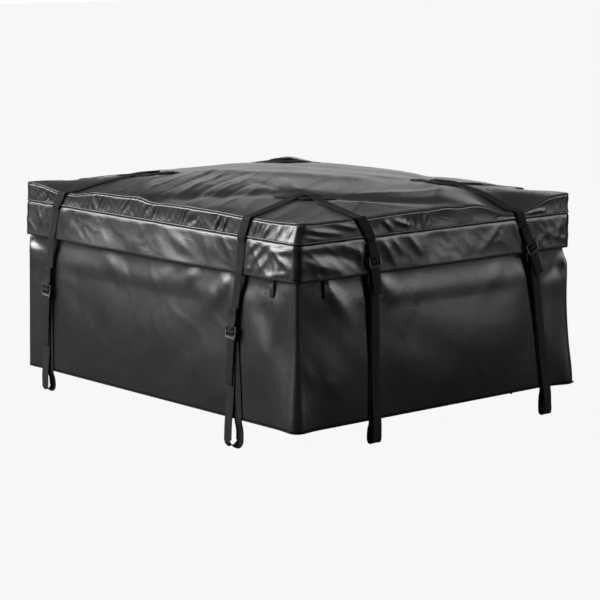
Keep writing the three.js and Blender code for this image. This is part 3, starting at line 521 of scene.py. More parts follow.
    def band_out(self, ring: Ring, share: Array) -> Array:
        """How far the gathered band stands in from the outline, as a grid of rows by stations."""
        arc = ring.arc[:-1] + 0 * share
        waves = (0.5 + 0.3 * np.sin(ring.along / 17 + ring.side)
                 + 0.2 * np.sin(ring.along / 31 + 2 * ring.side))
        base = -1.6 * waves * np.sin(np.pi * share)
        height = share * (self.top_edge - self.band_seam)
        wander = 0.32 * BAND_WANDER.value(arc, height)
        pleat = np.sqrt(np.sin(np.pi * ((arc - 0.4 * height) / 18.0 + wander)) ** 2 + 0.05)
        strength = 1.25 + 0.75 * np.clip(BAND_STRENGTH.value(arc, 0 * arc), -1, 1.3)
        lively = np.where(ring.side == Side.RIGHT.value, 0.15 + 0.7 * bell(ring.along + 90, 60), 1.0)
        lively = lively * (1 - 0.5 * bell(self.to_corner_of(ring, Side.RIGHT), 170))
        body = np.sin(np.pi * np.clip(share, 0, 1)) ** 0.55
        free = self.strap_calm(ring.side, ring.along, self.top_edge - 20 + 0 * share, 9)
        droop = (0.2 + 0.3 * lively) * BAND_CREASES.ridges(arc, height)
        droop = with_folds(droop, BAND_FOLDS, ring, height)
        return base * (0.35 + 0.65 * free) + (strength * lively * (pleat - 0.75) * 1.6 + droop) * body * free


STRAP_PAST_PATCH = 22.0
LID_CREASES = (
    ((0.55, -0.5), (0.98, -0.98), 34, 6), ((0.5, -0.45), (0.0, -0.95), 38, -5),
    ((0.62, -0.4), (0.98, 0.1), 36, -5), ((0.6, 0.42), (0.98, 0.05), 34, 5),
    ((0.55, 0.52), (0.05, 0.95), 40, -5), ((-0.55, -0.5), (-0.1, -0.95), 36, 5),
    ((-0.58, -0.48), (-0.98, -0.2), 34, -4), ((-0.55, 0.5), (-0.98, 0.95), 38, 5),
    ((0.3, 0.1), (-0.35, -0.25), 44, 4), ((-0.3, 0.35), (0.35, 0.6), 42, -4),
)
LID_FOLDS = (
    Fold((-300, -410), (-400, -250), 10, 1.6, 1.7), Fold((-230, -410), (-350, -190), 10, -2.0, 1.7),
    Fold((-170, -410), (-300, -150), 9, 2.0, 1.7), Fold((-110, -410), (-250, -120), 10, -2.4, 1.7),
    Fold((-60, -410), (-200, -130), 8, 2.2, 1.7), Fold((-10, -410), (-160, -90), 9, -2.6, 1.7),
    Fold((40, -410), (-100, -120), 8, 2.4, 1.7), Fold((85, -410), (-60, -90), 9, -2.6, 1.7),
    Fold((130, -405), (10, -140), 8, 2.2, 1.7), Fold((165, -400), (60, -170), 8, -2.4, 1.7),
    Fold((205, -395), (120, -200), 8, 2.0, 1.7), Fold((215, -205), (20, -150), 12, -2.2, 1.7),
    Fold((222, -180), (40, -80), 12, 1.6, 1.7), Fold((240, -150), (120, 20), 14, -1.4, 1.8),
    Fold((330, -165), (450, 40), 18, -2.4, 1.8), Fold((345, -190), (455, -70), 16, 1.6, 1.7),
    Fold((300, -150), (380, 120), 18, 2.0, 1.8), Fold((330, 165), (440, 30), 13, 2.4, 1.7),
    Fold((225, 170), (40, 60), 16, 1.6, 1.7), Fold((220, 260), (30, 380), 12, -1.6, 1.7),
    Fold((-225, 165), (-60, 40), 16, 1.4, 1.7), Fold((-215, 265), (-40, 385), 12, 1.6, 1.7),
    Fold((-345, -170), (-440, -30), 12, 2.0, 1.7), Fold((-345, 165), (-440, 40), 12, 1.6, 1.7),
)
LID_WAVES = WrinkleField(11, 150, 0.6, 1.2)
LID_RIDGES = WrinkleField(23, 90, 0.53, 0.16)
PATCH_CRUMPLE = WrinkleField(31, 46, 0.5, 1.1)
WALL_WAVES = WrinkleField(41, 210, 0.4, 1.0)
WALL_RIDGES = WrinkleField(43, 160, 0.5, 0.7)
FLAP_RIDGES = WrinkleField(53, 62, 0.7, 0.5)
FLAP_WAVES = WrinkleField(59, 80, 0.2, 0.8)
BAND_WANDER = WrinkleField(61, 90, 0.0, 0.5)
BAND_STRENGTH = WrinkleField(67, 120, 0.0, 0.1)
BAND_CREASES = WrinkleField(71, 34, 0.5, 0.6)
WALL_FOLDS = {
    Side.FRONT: (
        Fold((268, 316), (232, 268), 17, 5.0, 2.0), Fold((232, 268), (190, 236), 20, 2.4, 2.0),
        Fold((160, 318), (110, 276), 16, 3.4, 2.0), Fold((70, 312), (20, 262), 20, 2.0, 2.0),
        Fold((345, 300), (470, 120), 30, -2.6), Fold((440, 300), (400, 170), 20, 2.4),
        Fold((220, 200), (20, 70), 40, -2.2), Fold((-360, 240), (-120, 90), 44, -2.2),
        Fold((-200, 312), (-120, 262), 20, 2.2), Fold((330, 130), (250, 30), 22, 2.0),
        Fold((470, 250), (478, 60), 9, 1.8), Fold((-440, 190), (-280, 190), 80, 4.0),
    ),
    Side.RIGHT: (
        Fold((-330, 316), (-292, 262), 16, 4.6, 2.0), Fold((-292, 262), (-262, 226), 18, 2.4, 2.0),
        Fold((-180, 318), (-138, 268), 18, 3.6, 2.0), Fold((-60, 300), (-110, 190), 16, 1.6, 1.8),
        Fold((-395, 150), (-375, 110), 12, 1.4), Fold((-340, 110), (-310, 80), 14, 1.2),
        Fold((-385, 260), (-250, 100), 34, -2.4), Fold((-170, 200), (100, 90), 44, -2.2),
        Fold((350, 240), (255, 60), 36, -2.0), Fold((200, 310), (150, 250), 22, 1.4),
        Fold((330, 180), (345, 60), 20, 1.4), Fold((60, 120), (10, 40), 30, 1.0),
    ),
    Side.REAR: (
        Fold((-300, 300), (-240, 240), 20, 3.2), Fold((300, 300), (250, 240), 20, 3.2),
        Fold((-260, 220), (-60, 90), 40, -2.2), Fold((300, 220), (100, 100), 40, -2.2),
        Fold((-60, 300), (30, 200), 24, 2.4), Fold((400, 280), (430, 120), 24, 2.2),
    ),
    Side.LEFT: (
        Fold((-290, 304), (-240, 244), 20, 3.2), Fold((300, 304), (250, 244), 20, 3.2),
        Fold((-220, 220), (-60, 100), 40, -2.2), Fold((240, 210), (80, 90), 40, -2.2),
        Fold((0, 300), (60, 200), 24, 2.2), Fold((-380, 270), (-350, 110), 22, 2.2),
    ),
}
BAND_FOLDS = {
    Side.FRONT: (
        Fold((474, 40), (458, 8), 6, 2.0, 1.7), Fold((440, 42), (424, 6), 7, 2.4, 1.7),
        Fold((404, 40), (388, 10), 6, 1.8, 1.7), Fold((366, 42), (352, 6), 6, 1.6, 1.7),
        Fold((238, 40), (228, 6), 4, 3.6, 1.7), Fold((262, 40), (254, 6), 4, 3.0, 1.7),
    ),
    Side.RIGHT: (
        Fold((-402, 34), (-300, 14), 7, 3.2, 1.8), Fold((-396, 14), (-340, 2), 5, 2.2, 1.8),
        Fold((-320, 42), (-250, 24), 6, 2.4, 1.8), Fold((-172, 34), (-150, 10), 5, 3.6, 1.8),
        Fold((-140, 30), (-96, 14), 5, 3.6, 1.8), Fold((280, 30), (330, 12), 6, 3.0, 1.8),
    ),
}
FLAP_FOLDS = {
    Side.FRONT: (
        Fold((478, 388), (418, 384), 6, 3.6, 1.7), Fold((418, 384), (470, 352), 6, 3.8, 1.7),
        Fold((412, 378), (372, 332), 8, 3.6, 1.7), Fold((446, 366), (430, 330), 6, 2.4, 1.7),
        Fold((398, 396), (352, 352), 7, 3.2, 1.7), Fold((366, 398), (332, 366), 6, 2.6, 1.7),
        Fold((470, 340), (404, 328), 5.5, 2.6, 1.7), Fold((352, 340), (322, 330), 6, 2.8, 1.7),
        Fold((452, 396), (436, 386), 4.0, -3.0, 1.7), Fold((-330, 398), (-372, 346), 7, 2.6, 1.6),
        Fold((-300, 390), (-340, 332), 8, -2.0, 1.6), Fold((-410, 396), (-440, 340), 6, 2.4, 1.6),
        Fold((250, 396), (290, 340), 8, 2.2, 1.6), Fold((60, 390), (150, 345), 12, 1.6, 1.8),
    ),
    Side.RIGHT: (
        Fold((-404, 368), (-300, 338), 10, 3.6, 1.8), Fold((-396, 396), (-330, 384), 7, 2.0, 1.7),
        Fold((-360, 388), (-262, 356), 9, -2.4, 1.8), Fold((-300, 396), (-240, 372), 8, 2.4, 1.8),
        Fold((-246, 384), (-234, 340), 5.5, 3.6, 1.7), Fold((-180, 396), (-140, 340), 7, 3.0, 1.6),
        Fold((-150, 396), (-120, 362), 5, 3.0, 1.6), Fold((-100, 396), (-64, 356), 6, 2.8, 1.6),
        Fold((230, 396), (262, 336), 7, 3.0, 1.6), Fold((330, 396), (352, 340), 6, 2.6, 1.6),
        Fold((180, 392), (130, 346), 9, 2.0, 1.6), Fold((390, 396), (372, 344), 6, 2.4, 1.6),
    ),
    Side.REAR: (
        Fold((-330, 394), (-290, 340), 7, 2.6, 1.6), Fold((340, 396), (300, 338), 7, 2.6, 1.6),
        Fold((20, 392), (70, 342), 10, 2.0, 1.6), Fold((-440, 396), (-420, 340), 6, 2.6, 1.6),
    ),
    Side.LEFT: (
        Fold((-260, 394), (-300, 340), 7, 2.6, 1.6), Fold((250, 396), (290, 338), 7, 2.6, 1.6),
        Fold((-20, 392), (30, 342), 10, 2.0, 1.6), Fold((385, 396), (365, 340), 6, 2.6, 1.6),
    ),
}


# Shader tools


class Signal:
    """A shader socket that takes part in Python arithmetic by adding Math nodes."""

    def __init__(self, board: "ShaderBoard", socket: bpy.types.NodeSocket) -> None:
        """Keeps the socket and its board."""
        self.board = board
        self.socket = socket

    def math(self, operation: str, other: object = None, swapped: bool = False) -> "Signal":
        """Adds a Math node.

        Args:
            operation: the Math node's operation.
            other: a second signal or number.
            swapped: whether the other comes first.

        Returns:
            The node's result.
        """
        first = other if swapped else self
        second = self if swapped else other
        values = {0: first} if second is None else {0: first, 1: second}
        return self.board.add("ShaderNodeMath", {"operation": operation}, values)

    def __add__(self, other: object) -> "Signal":
        """Sum."""
        return self.math("ADD", other)

    __radd__ = __add__

    def __sub__(self, other: object) -> "Signal":
        """Difference."""
        return self.math("SUBTRACT", other)

    def __rsub__(self, other: object) -> "Signal":
        """Difference, reflected."""
        return self.math("SUBTRACT", other, swapped=True)

    def __mul__(self, other: object) -> "Signal":
        """Product."""
        return self.math("MULTIPLY", other)

    __rmul__ = __mul__

    def __abs__(self) -> "Signal":
        """Size without sign."""
        return self.math("ABSOLUTE")

    def clipped(self) -> "Signal":
        """Kept between 0 and 1."""
        return self.math("MAXIMUM", 0.0).math("MINIMUM", 1.0)


class ShaderBoard:
    """A material's node tree and the one method that adds nodes to it."""

    def __init__(self, name: str) -> None:
        """Starts a material with a bare Principled shader."""
        self.material = bpy.data.materials.new(name)
        self.material.use_nodes = True
        self.tree = self.material.node_tree
        self.shader = self.tree.nodes["Principled BSDF"]

    def add(self, kind: str, settings: dict[str, object], values: dict[object, object],
            output: object = 0) -> Signal:
        """Adds a node.

        Args:
            kind: the node's type.
            settings: properties to set first, such as an operation, or "stops" of a ramp.
            values: values or signals of its input sockets, by name or number.
            output: which output is wanted.

        Returns:
            The output as a signal.
        """
        node = self.tree.nodes.new(kind)
        for key, value in settings.items():
            if key == "stops":
                ramp = node.color_ramp
                while len(ramp.elements) < len(value):
                    ramp.elements.new(0.5)
                for element, (place, colour) in zip(ramp.elements, value):
                    element.position, element.color = place, (*colour, 1.0)
            else:
                setattr(node, key, value)
        for key, value in values.items():
            self.feed(node.inputs[key], value)
        return Signal(self, node.outputs[output])

    def feed(self, socket: bpy.types.NodeSocket, value: object) -> None:
        """Sets a socket to a value or links a signal to it."""
        if isinstance(value, Signal):
            self.tree.links.new(value.socket, socket)
        elif isinstance(value, tuple) and len(value) == 3 and len(socket.default_value) == 4:
            socket.default_value = (*value, 1.0)
        else:
            socket.default_value = value

    def shade(self, **values: object) -> bpy.types.Material:
        """Feeds the Principled shader by socket name, with _ for a space, and returns the material."""
        for key, value in values.items():
            self.feed(self.shader.inputs[key.replace("_", " ")], value)
        return self.material

    def place(self, uv: bool) -> Signal:
        """The piece's UV map in metres, or its own coordinates."""
        if uv:
            return self.add("ShaderNodeUVMap", {"uv_map": "UVMap"}, {})
        return self.add("ShaderNodeTexCoord", {}, {}, "Object")

    def stretched(self, vector: Signal, scale: tuple[float, float, float], turn: float = 0.0) -> Signal:
        """Scales a coordinate and turns it about Z."""
        return self.add("ShaderNodeMapping", {}, {"Vector": vector, "Scale": scale, "Rotation": (0.0, 0.0, turn)})

    def noise(self, vector: Signal, scale: float, detail: float = 3.0, rough: float = 0.5,
              twist: float = 0.0) -> Signal:
        """Noise from 0 to 1."""
        values = {"Vector": vector, "Scale": scale, "Detail": detail, "Roughness": rough, "Distortion": twist}
        return self.add("ShaderNodeTexNoise", {}, values, "Fac")

    def parts(self, vector: Signal) -> tuple[Signal, Signal, Signal]:
        """X, Y and Z of a vector."""
        first = self.add("ShaderNodeSeparateXYZ", {}, {0: vector}, 0)
        node = first.socket.node
        return first, Signal(self, node.outputs[1]), Signal(self, node.outputs[2])

    def blend(self, share: Signal, low: tuple[float, float, float], high: tuple[float, float, float]) -> Signal:
        """Mixes two colours."""
        ramp = {"stops": ((0.0, low), (1.0, high))}
        return self.add("ShaderNodeValToRGB", ramp, {"Fac": share}, "Color")

    def bump(self, height: Signal, depth: float, strength: float = 1.0, under: Signal | None = None) -> Signal:
        """A Bump node, whose depth is in metres."""
        values = {"Height": height, "Distance": depth, "Strength": strength}
        if under is not None:
            values["Normal"] = under
        return self.add("ShaderNodeBump", {}, values)


@dataclass(frozen=True)
class CoatedFabric:
    """Black vinyl-coated fabric: a soft gloss over a fine woven scrim, with small creases."""

    name: str = "coated_fabric"
    deep: tuple[float, float, float] = (0.0068, 0.007, 0.0078)
    worn: tuple[float, float, float] = (0.0118, 0.012, 0.013)
    roughness: float = 0.34
    crease: float = 0.4
    grain: float = 1150.0
    uv: bool = True

    def material(self) -> bpy.types.Material:
        """Builds the material.

        Returns:
            The finished material.
        """
        board = ShaderBoard(self.name)
        place = board.place(self.uv)
        x, y, _ = board.parts(place)
        tau = 2 * math.pi
        weave = (x * (self.grain * tau)).math("SINE") * (y * (self.grain * tau)).math("SINE")
        cloud = board.noise(place, 9.0, 4.0, 0.6)
        dust = board.noise(place, 60.0, 5.0, 0.65)
        crease_a = abs(board.noise(board.stretched(place, (1.0, 0.45, 1.0), 0.5), 24.0, 3.0, 0.5, 0.6) - 0.5)
        crease_b = abs(board.noise(board.stretched(place, (0.5, 1.0, 1.0), -0.4), 60.0, 3.0, 0.55, 0.8) - 0.5)
        creases = (1.0 - (crease_a * 9.0).clipped()) * 0.7 + (1.0 - (crease_b * 9.0).clipped()) * 0.3
        large = board.bump(creases, 0.0005, self.crease)
        fine = board.bump(weave * 0.5 + dust * 0.4, 0.00009, 0.5, large)
        colour = board.blend((cloud * 0.6 + creases * 0.3 + dust * 0.25 - 0.2).clipped(), self.deep, self.worn)
        rough = (cloud - 0.5) * 0.12 + (dust - 0.5) * 0.1 + self.roughness
        return board.shade(Base_Color=colour, Roughness=rough.clipped(), Normal=fine, Specular_IOR_Level=0.75)


@dataclass(frozen=True)
class TapeFinish:
    """Matt woven tape with ribs across its length, for bindings, pipings, patches and the zip."""

    name: str = "trim_tape"
    deep: tuple[float, float, float] = (0.006, 0.006, 0.0065)
    light: tuple[float, float, float] = (0.014, 0.014, 0.015)
    pitch: float = 900.0
    roughness: float = 0.72
    uv: bool = True

    def material(self) -> bpy.types.Material:
        """Builds the material."""
        board = ShaderBoard(self.name)
        place = board.place(self.uv)
        x, y, z = board.parts(place)
        tau = 2 * math.pi
        along = x if self.uv else x + y
        across = y if self.uv else z
        ribs = (along * (self.pitch * tau)).math("SINE") * 0.5 + 0.5
        yarn = (across * (self.pitch * 0.7 * tau)).math("SINE") * 0.5 + 0.5
        fuzz = board.noise(place, 420.0, 4.0, 0.6)
        height = ribs * 0.55 + yarn * 0.25 + fuzz * 0.4
        colour = board.blend((height * 0.7 + (fuzz - 0.5) * 0.5).clipped(), self.deep, self.light)
        normal = board.bump(height, 0.00022, 0.7)
        rough = (fuzz - 0.5) * 0.2 + self.roughness
        return board.shade(Base_Color=colour, Roughness=rough.clipped(), Normal=normal, Specular_IOR_Level=0.2)


@dataclass(frozen=True)
class WebbingFinish:
    """Ribbed polyester webbing: rows of yarn along the strap, crossed by fine picks, with firm edges."""

    name: str = "webbing"
    deep: tuple[float, float, float] = (0.0045, 0.0045, 0.005)
    light: tuple[float, float, float] = (0.0125, 0.0125, 0.0135)
    ribs: float = 640.0
    picks: float = 520.0

    def material(self) -> bpy.types.Material:
        """Builds the material."""
        board = ShaderBoard(self.name)
        place = board.place(True)
        across, along, _ = board.parts(place)
        tau = 2 * math.pi
        rib = (across * (self.ribs * tau)).math("SINE")
        pick = (along * (self.picks * tau) + rib * 1.4).math("SINE")
        weave = rib * 0.28 + pick * 0.3 + 0.5
        fuzz = board.noise(place, 700.0, 4.0, 0.65)
        age = board.noise(place, 14.0, 3.0, 0.5)
        colour = board.blend((weave * 0.6 + fuzz * 0.4 + (age - 0.5) * 0.5 - 0.1).clipped(), self.deep, self.light)
        normal = board.bump(weave + fuzz * 0.5, 0.00035, 0.8)
        rough = (fuzz - 0.5) * 0.2 + 0.76
        return board.shade(Base_Color=colour, Roughness=rough.clipped(), Normal=normal, Specular_IOR_Level=0.25)


@dataclass(frozen=True)
class PlasticFinish:
    """Satin moulded plastic with a fine spark-eroded grain."""

    name: str = "moulded_plastic"
    colour: tuple[float, float, float] = (0.0085, 0.0085, 0.009)
    worn: tuple[float, float, float] = (0.016, 0.016, 0.017)
    roughness: float = 0.42

    def material(self) -> bpy.types.Material:
        """Builds the material."""
        board = ShaderBoard(self.name)
        place = board.place(False)
        grain = board.noise(place, 1600.0, 3.0, 0.6)
        scuff = board.noise(board.stretched(place, (1.0, 1.0, 0.3)), 240.0, 5.0, 0.7, 0.5)
        colour = board.blend(((scuff - 0.5) * 3.0).clipped(), self.colour, self.worn)
        rough = (scuff - 0.5) * 0.3 + (grain - 0.5) * 0.12 + self.roughness
        normal = board.bump(grain, 0.00006, 0.5)
        return board.shade(Base_Color=colour, Roughness=rough.clipped(), Normal=normal)


@dataclass(frozen=True)
class PaintedMetalFinish:
    """Black painted zinc, a little worn at its edges."""

    name: str = "painted_metal"
    paint: tuple[float, float, float] = (0.014, 0.014, 0.015)
    bare: tuple[float, float, float] = (0.2, 0.2, 0.21)

    def material(self) -> bpy.types.Material:
        """Builds the material."""
        board = ShaderBoard(self.name)
        place = board.place(False)
        wear = board.noise(place, 380.0, 6.0, 0.75)
        mask = ((wear - 0.66) * 9.0).clipped()
        colour = board.blend(mask, self.paint, self.bare)
        normal = board.bump(wear, 0.00005, 0.4)
        return board.shade(Base_Color=colour, Metallic=mask * 0.6 + 0.3, Roughness=wear * 0.25 + 0.26,
                           Normal=normal)


@dataclass(frozen=True)
class ThreadFinish:
    """Twisted polyester sewing thread."""

    name: str = "thread"
    deep: tuple[float, float, float] = (0.01, 0.01, 0.011)
    light: tuple[float, float, float] = (0.03, 0.03, 0.032)

    def material(self) -> bpy.types.Material:
        """Builds the material."""
        board = ShaderBoard(self.name)
        place = board.place(False)
        twist = board.noise(board.stretched(place, (1.0, 1.0, 0.4), 0.5), 1500.0, 2.0)
        colour = board.blend(twist, self.deep, self.light)
        return board.shade(Base_Color=colour, Roughness=twist * 0.2 + 0.5, Normal=board.bump(twist, 0.00008, 0.6))


@dataclass(frozen=True)
class FinishSet:
    """The bag's finished materials."""

    fabric: bpy.types.Material
    fabric_plain: bpy.types.Material
    # A darker copy of the coated fabric, whose darker colour is painted shade.
    fabric_wall: bpy.types.Material
    tape: bpy.types.Material
    tape_plain: bpy.types.Material
    webbing: bpy.types.Material
    plastic: bpy.types.Material
    metal: bpy.types.Material
    thread: bpy.types.Material

    @classmethod
    def make(cls) -> "FinishSet":
        """Builds every material of the bag."""
        return cls(
            fabric=CoatedFabric().material(),
            fabric_plain=CoatedFabric(name="coated_fabric_inner", uv=False).material(),
            # The walls and the base take a darker copy of the same coated fabric: its darker colours are painted
            # shade. It is also a little smoother and less creased.
            fabric_wall=CoatedFabric(name="coated_fabric_wall", deep=(0.005, 0.0051, 0.0056),
                                     worn=(0.0088, 0.009, 0.0098), roughness=0.3, crease=0.16).material(),
            tape=TapeFinish().material(),
            tape_plain=TapeFinish(name="zip_tape", uv=False, pitch=420.0).material(),
            webbing=WebbingFinish().material(),
            plastic=PlasticFinish().material(),
            metal=PaintedMetalFinish().material(),
            thread=ThreadFinish().material(),
        )


# Mesh tools


class Workbench:
    """Turns grids, sweeps and copies into pieces that ride on the bag."""

    def __init__(self, form: BagForm, finishes: FinishSet) -> None:
        """Keeps the bag's form and finishes."""
        self.form = form
        self.finishes = finishes

    @staticmethod
    def pick(piece: bpy.types.Object) -> None:
        """Makes a piece the only one that is selected."""
        bpy.ops.object.select_all(action="DESELECT")
        piece.select_set(True)
        bpy.context.view_layer.objects.active = piece

    def mesh(self, name: str, points: Array, faces: Array, uvs: Array | None = None) -> bpy.types.Object:
        """Makes an object from points in millimetres.

        Args:
            name: the piece's name.
            points: an array of points.
            faces: an array of equal faces, or a list of mixed ones.
            uvs: one UV pair for each corner of each face, in metres.

        Returns:
            The new object.
        """
        mesh = bpy.data.meshes.new(name)
        mesh.from_pydata((np.asarray(points).reshape(-1, 3) * MM).tolist(), [], [list(f) for f in faces])
        if uvs is not None:
            layer = mesh.uv_layers.new(name="UVMap")
            layer.data.foreach_set("uv", np.asarray(uvs, np.float32).ravel())
        mesh.update()
        piece = bpy.data.objects.new(name, mesh)
        bpy.context.scene.collection.objects.link(piece)
        mesh.polygons.foreach_set("use_smooth", np.ones(len(mesh.polygons), bool))
        return piece

    def panel(self, name: str, points: Array, uv: Array, wrap: bool, thick: float = 0.0) -> bpy.types.Object:
        """A sheet from a grid of points, thickened inwards.

        Args:
            name: the piece's name.
            points: rows by columns by 3, whose columns then rows turn outwards.
            uv: rows by columns by 2 in metres, with one more column where it wraps.
            wrap: whether the last column joins the first.
            thick: thickness in millimetres.

        Returns:
            The panel.
        """
        rows, cols = points.shape[:2]
        spans = cols if wrap else cols - 1
        r, c = np.meshgrid(np.arange(rows - 1), np.arange(spans), indexing="ij")
        after = (c + 1) % cols
        faces = np.stack([r * cols + c, r * cols + after, (r + 1) * cols + after, (r + 1) * cols + c], -1)
        corner_uv = np.stack([uv[r, c], uv[r, c + 1], uv[r + 1, c + 1], uv[r + 1, c]], -2)
        piece = self.mesh(name, points, faces.reshape(-1, 4), corner_uv.reshape(-1, 2))
        if thick:
            solid = piece.modifiers.new("thickness", "SOLIDIFY")
            solid.thickness, solid.offset = thick * MM, -1.0
            self.apply(piece)
        return piece

    def apply(self, piece: bpy.types.Object) -> None:
        """Applies every modifier of a piece."""
        self.pick(piece)
        for modifier in list(piece.modifiers):
            bpy.ops.object.modifier_apply(modifier=modifier.name)

    def sweep(self, name: str, centres: Array, sides: Array, ups: Array, profile: Array,
              closed: bool) -> bpy.types.Object:
        """Draws a closed profile along a path.

        Args:
            name: the piece's name.
            centres: the path's points.
            sides: the profile's first direction at each point.
            ups: the profile's second direction at each point.
            profile: points of the profile in those two directions.
            closed: whether the path joins up.

        Returns:
            The swept body, with u round the profile and v along the path, in metres.
        """
        count, size = len(centres), len(profile)
        points = (centres[:, None] + sides[:, None] * profile[None, :, :1] + ups[:, None] * profile[None, :, 1:])
        steps = np.linalg.norm(np.diff(np.vstack([centres, centres[:1]]), axis=0), axis=1)
        run = np.concatenate([[0], np.cumsum(steps)]) * MM
        rim = np.linalg.norm(np.diff(np.vstack([profile, profile[:1]]), axis=0), axis=1)
        girth = np.concatenate([[0], np.cumsum(rim)]) * MM
        spans = count if closed else count - 1
        j, i = np.meshgrid(np.arange(spans), np.arange(size), indexing="ij")
        nj, ni = (j + 1) % count, (i + 1) % size
        faces = np.stack([j * size + i, j * size + ni, nj * size + ni, nj * size + i], -1).reshape(-1, 4)
        corner = np.stack(
            [np.stack([girth[i], run[j]], -1), np.stack([girth[i + 1], run[j]], -1),
             np.stack([girth[i + 1], run[j + 1]], -1), np.stack([girth[i], run[j + 1]], -1)], -2).reshape(-1, 2)
        faces, corner = faces.tolist(), corner.tolist()
        if not closed:
            first, last = list(range(size))[::-1], [(count - 1) * size + k for k in range(size)]
            faces += [first, last]
            corner += [(girth[k], 0.0) for k in first] + [(girth[k], run[count - 1]) for k in range(size)]
        piece = self.mesh(name, points, faces, np.array(corner))
        self.face_outwards(piece)
        return piece

    @staticmethod
    def face_outwards(piece: bpy.types.Object) -> None:
        """Turns a closed body's faces outwards."""
        work = bmesh.new()
        work.from_mesh(piece.data)
        bmesh.ops.recalc_face_normals(work, faces=work.faces)
        work.to_mesh(piece.data)
        work.free()

    def finish(self, piece: bpy.types.Object, material: bpy.types.Material, slot: str, body: str = "bag",
               replaces: tuple[str, ...] = ()) -> bpy.types.Object:
        """Dresses a piece and puts it on its body.

        Args:
            piece: the finished mesh.
            material: its material.
            slot: the record's material slot; not used.
            body: the CAD body that it rides on.
            replaces: CAD nodes that it stands for.

        Returns:
            The piece.
        """
        piece.data.materials.clear()
        piece.data.materials.append(material)
        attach(piece, body)
        if replaces:
            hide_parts(*replaces)
        LOG.info("%s: %d faces on %s", piece.name, len(piece.data.polygons), body)
        return piece

    def softened_copy(self, node: str, name: str, width: float, angle: float = 32.0) -> bpy.types.Object:
        """A copy of a CAD node with its hard edges rounded.

        Args:
            node: the CAD node.
            name: the new piece's name.
            width: width of the rounding in millimetres.
            angle: smallest edge angle that is rounded, in degrees.

        Returns:
            The copy, in the node's place.
        """
        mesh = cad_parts[node].data.copy()
        mesh.name = name
        piece = bpy.data.objects.new(name, mesh)
        bpy.context.scene.collection.objects.link(piece)
        work = bmesh.new()
        work.from_mesh(mesh)
        bmesh.ops.remove_doubles(work, verts=work.verts, dist=0.00002)
        bmesh.ops.dissolve_limit(work, angle_limit=math.radians(2), verts=work.verts, edges=work.edges)
        bmesh.ops.recalc_face_normals(work, faces=work.faces)
        work.to_mesh(mesh)
        work.free()
        bevel = piece.modifiers.new("edges", "BEVEL")
        bevel.width, bevel.segments, bevel.limit_method = width * MM, 2, "ANGLE"
        bevel.angle_limit = math.radians(angle)
        bevel.use_clamp_overlap = True
        self.apply(piece)
        self.pick(piece)
        bpy.ops.object.shade_smooth_by_angle(angle=math.radians(35))
        return piece

    def ring_points(self, ring: Ring, out: Array, z: Array) -> Array:
        """Points of a grid round the outline, rows by stations."""
        shape = np.broadcast(out, z).shape
        points = np.zeros((*shape, 3))
        points[..., :2] = ring.point + ring.normal * np.broadcast_to(out, shape)[..., None]
        points[..., 2] = z
        return points

    def ring_uv(self, ring: Ring, rows: Array) -> Array:
        """UV grid round the outline: running length and height, in metres."""
        height = np.asarray(rows, float).reshape(-1, 1)
        return np.stack([ring.arc[None] + 0 * height, height + 0 * ring.arc[None]], -1) * MM


class StitchMaker:
    """Copies one modelled stitch along seams."""

    def __init__(self, bench: Workbench) -> None:
        """Models the stitch: a short thread whose ends sink into the cloth."""
        self.bench = bench
        bpy.ops.object.select_all(action="DESELECT")
        bpy.ops.mesh.primitive_cylinder_add(vertices=6, radius=0.5, depth=1.0, end_fill_type="NGON")
        stitch = bpy.context.object
        bpy.ops.object.mode_set(mode="EDIT")
        bpy.ops.mesh.select_all(action="DESELECT")
        bpy.ops.object.mode_set(mode="OBJECT")
        for face in stitch.data.polygons:
            face.select = abs(face.normal.z) > 0.9
        bpy.ops.object.mode_set(mode="EDIT")
        bpy.ops.mesh.select_mode(type="FACE")
        bpy.ops.mesh.inset(thickness=0.22, use_individual=True)
        bpy.ops.transform.resize(value=(1.0, 1.0, 1.25))
        bpy.ops.object.mode_set(mode="OBJECT")
        self.points = np.array([v.co for v in stitch.data.vertices])
        self.faces = [list(face.vertices) for face in stitch.data.polygons]
        bpy.data.objects.remove(stitch)

    def along(self, name: str, centres: Array, tangents: Array, normals: Array, length: float = 3.0,
              width: float = 0.75, body: str = "bag") -> bpy.types.Object:
        """Lays stitches along a seam.

        Args:
            name: the piece's name.
            centres: the middle of each stitch.
            tangents: the direction of each stitch.
            normals: the cloth's outward direction at each stitch.
            length: length of a stitch.
            width: thickness of the thread.
            body: the CAD body that the stitches ride on.

        Returns:
            One piece with all the stitches.
        """
        tangents = unit(tangents)
        across = unit(np.cross(normals, tangents))
        normals = np.cross(tangents, across)
        local = self.points
        points = (centres[:, None] + across[:, None] * local[None, :, :1] * width
                  + normals[:, None] * local[None, :, 1:2] * width * 0.8
                  + tangents[:, None] * local[None, :, 2:] * length)
        size = len(local)
        faces = [[k * size + v for v in face] for k in range(len(centres)) for face in self.faces]
        piece = self.bench.mesh(name, points, faces)
        self.bench.face_outwards(piece)
        return self.bench.finish(piece, self.bench.finishes.thread, "trim_tape", body)


# Sub-assemblies


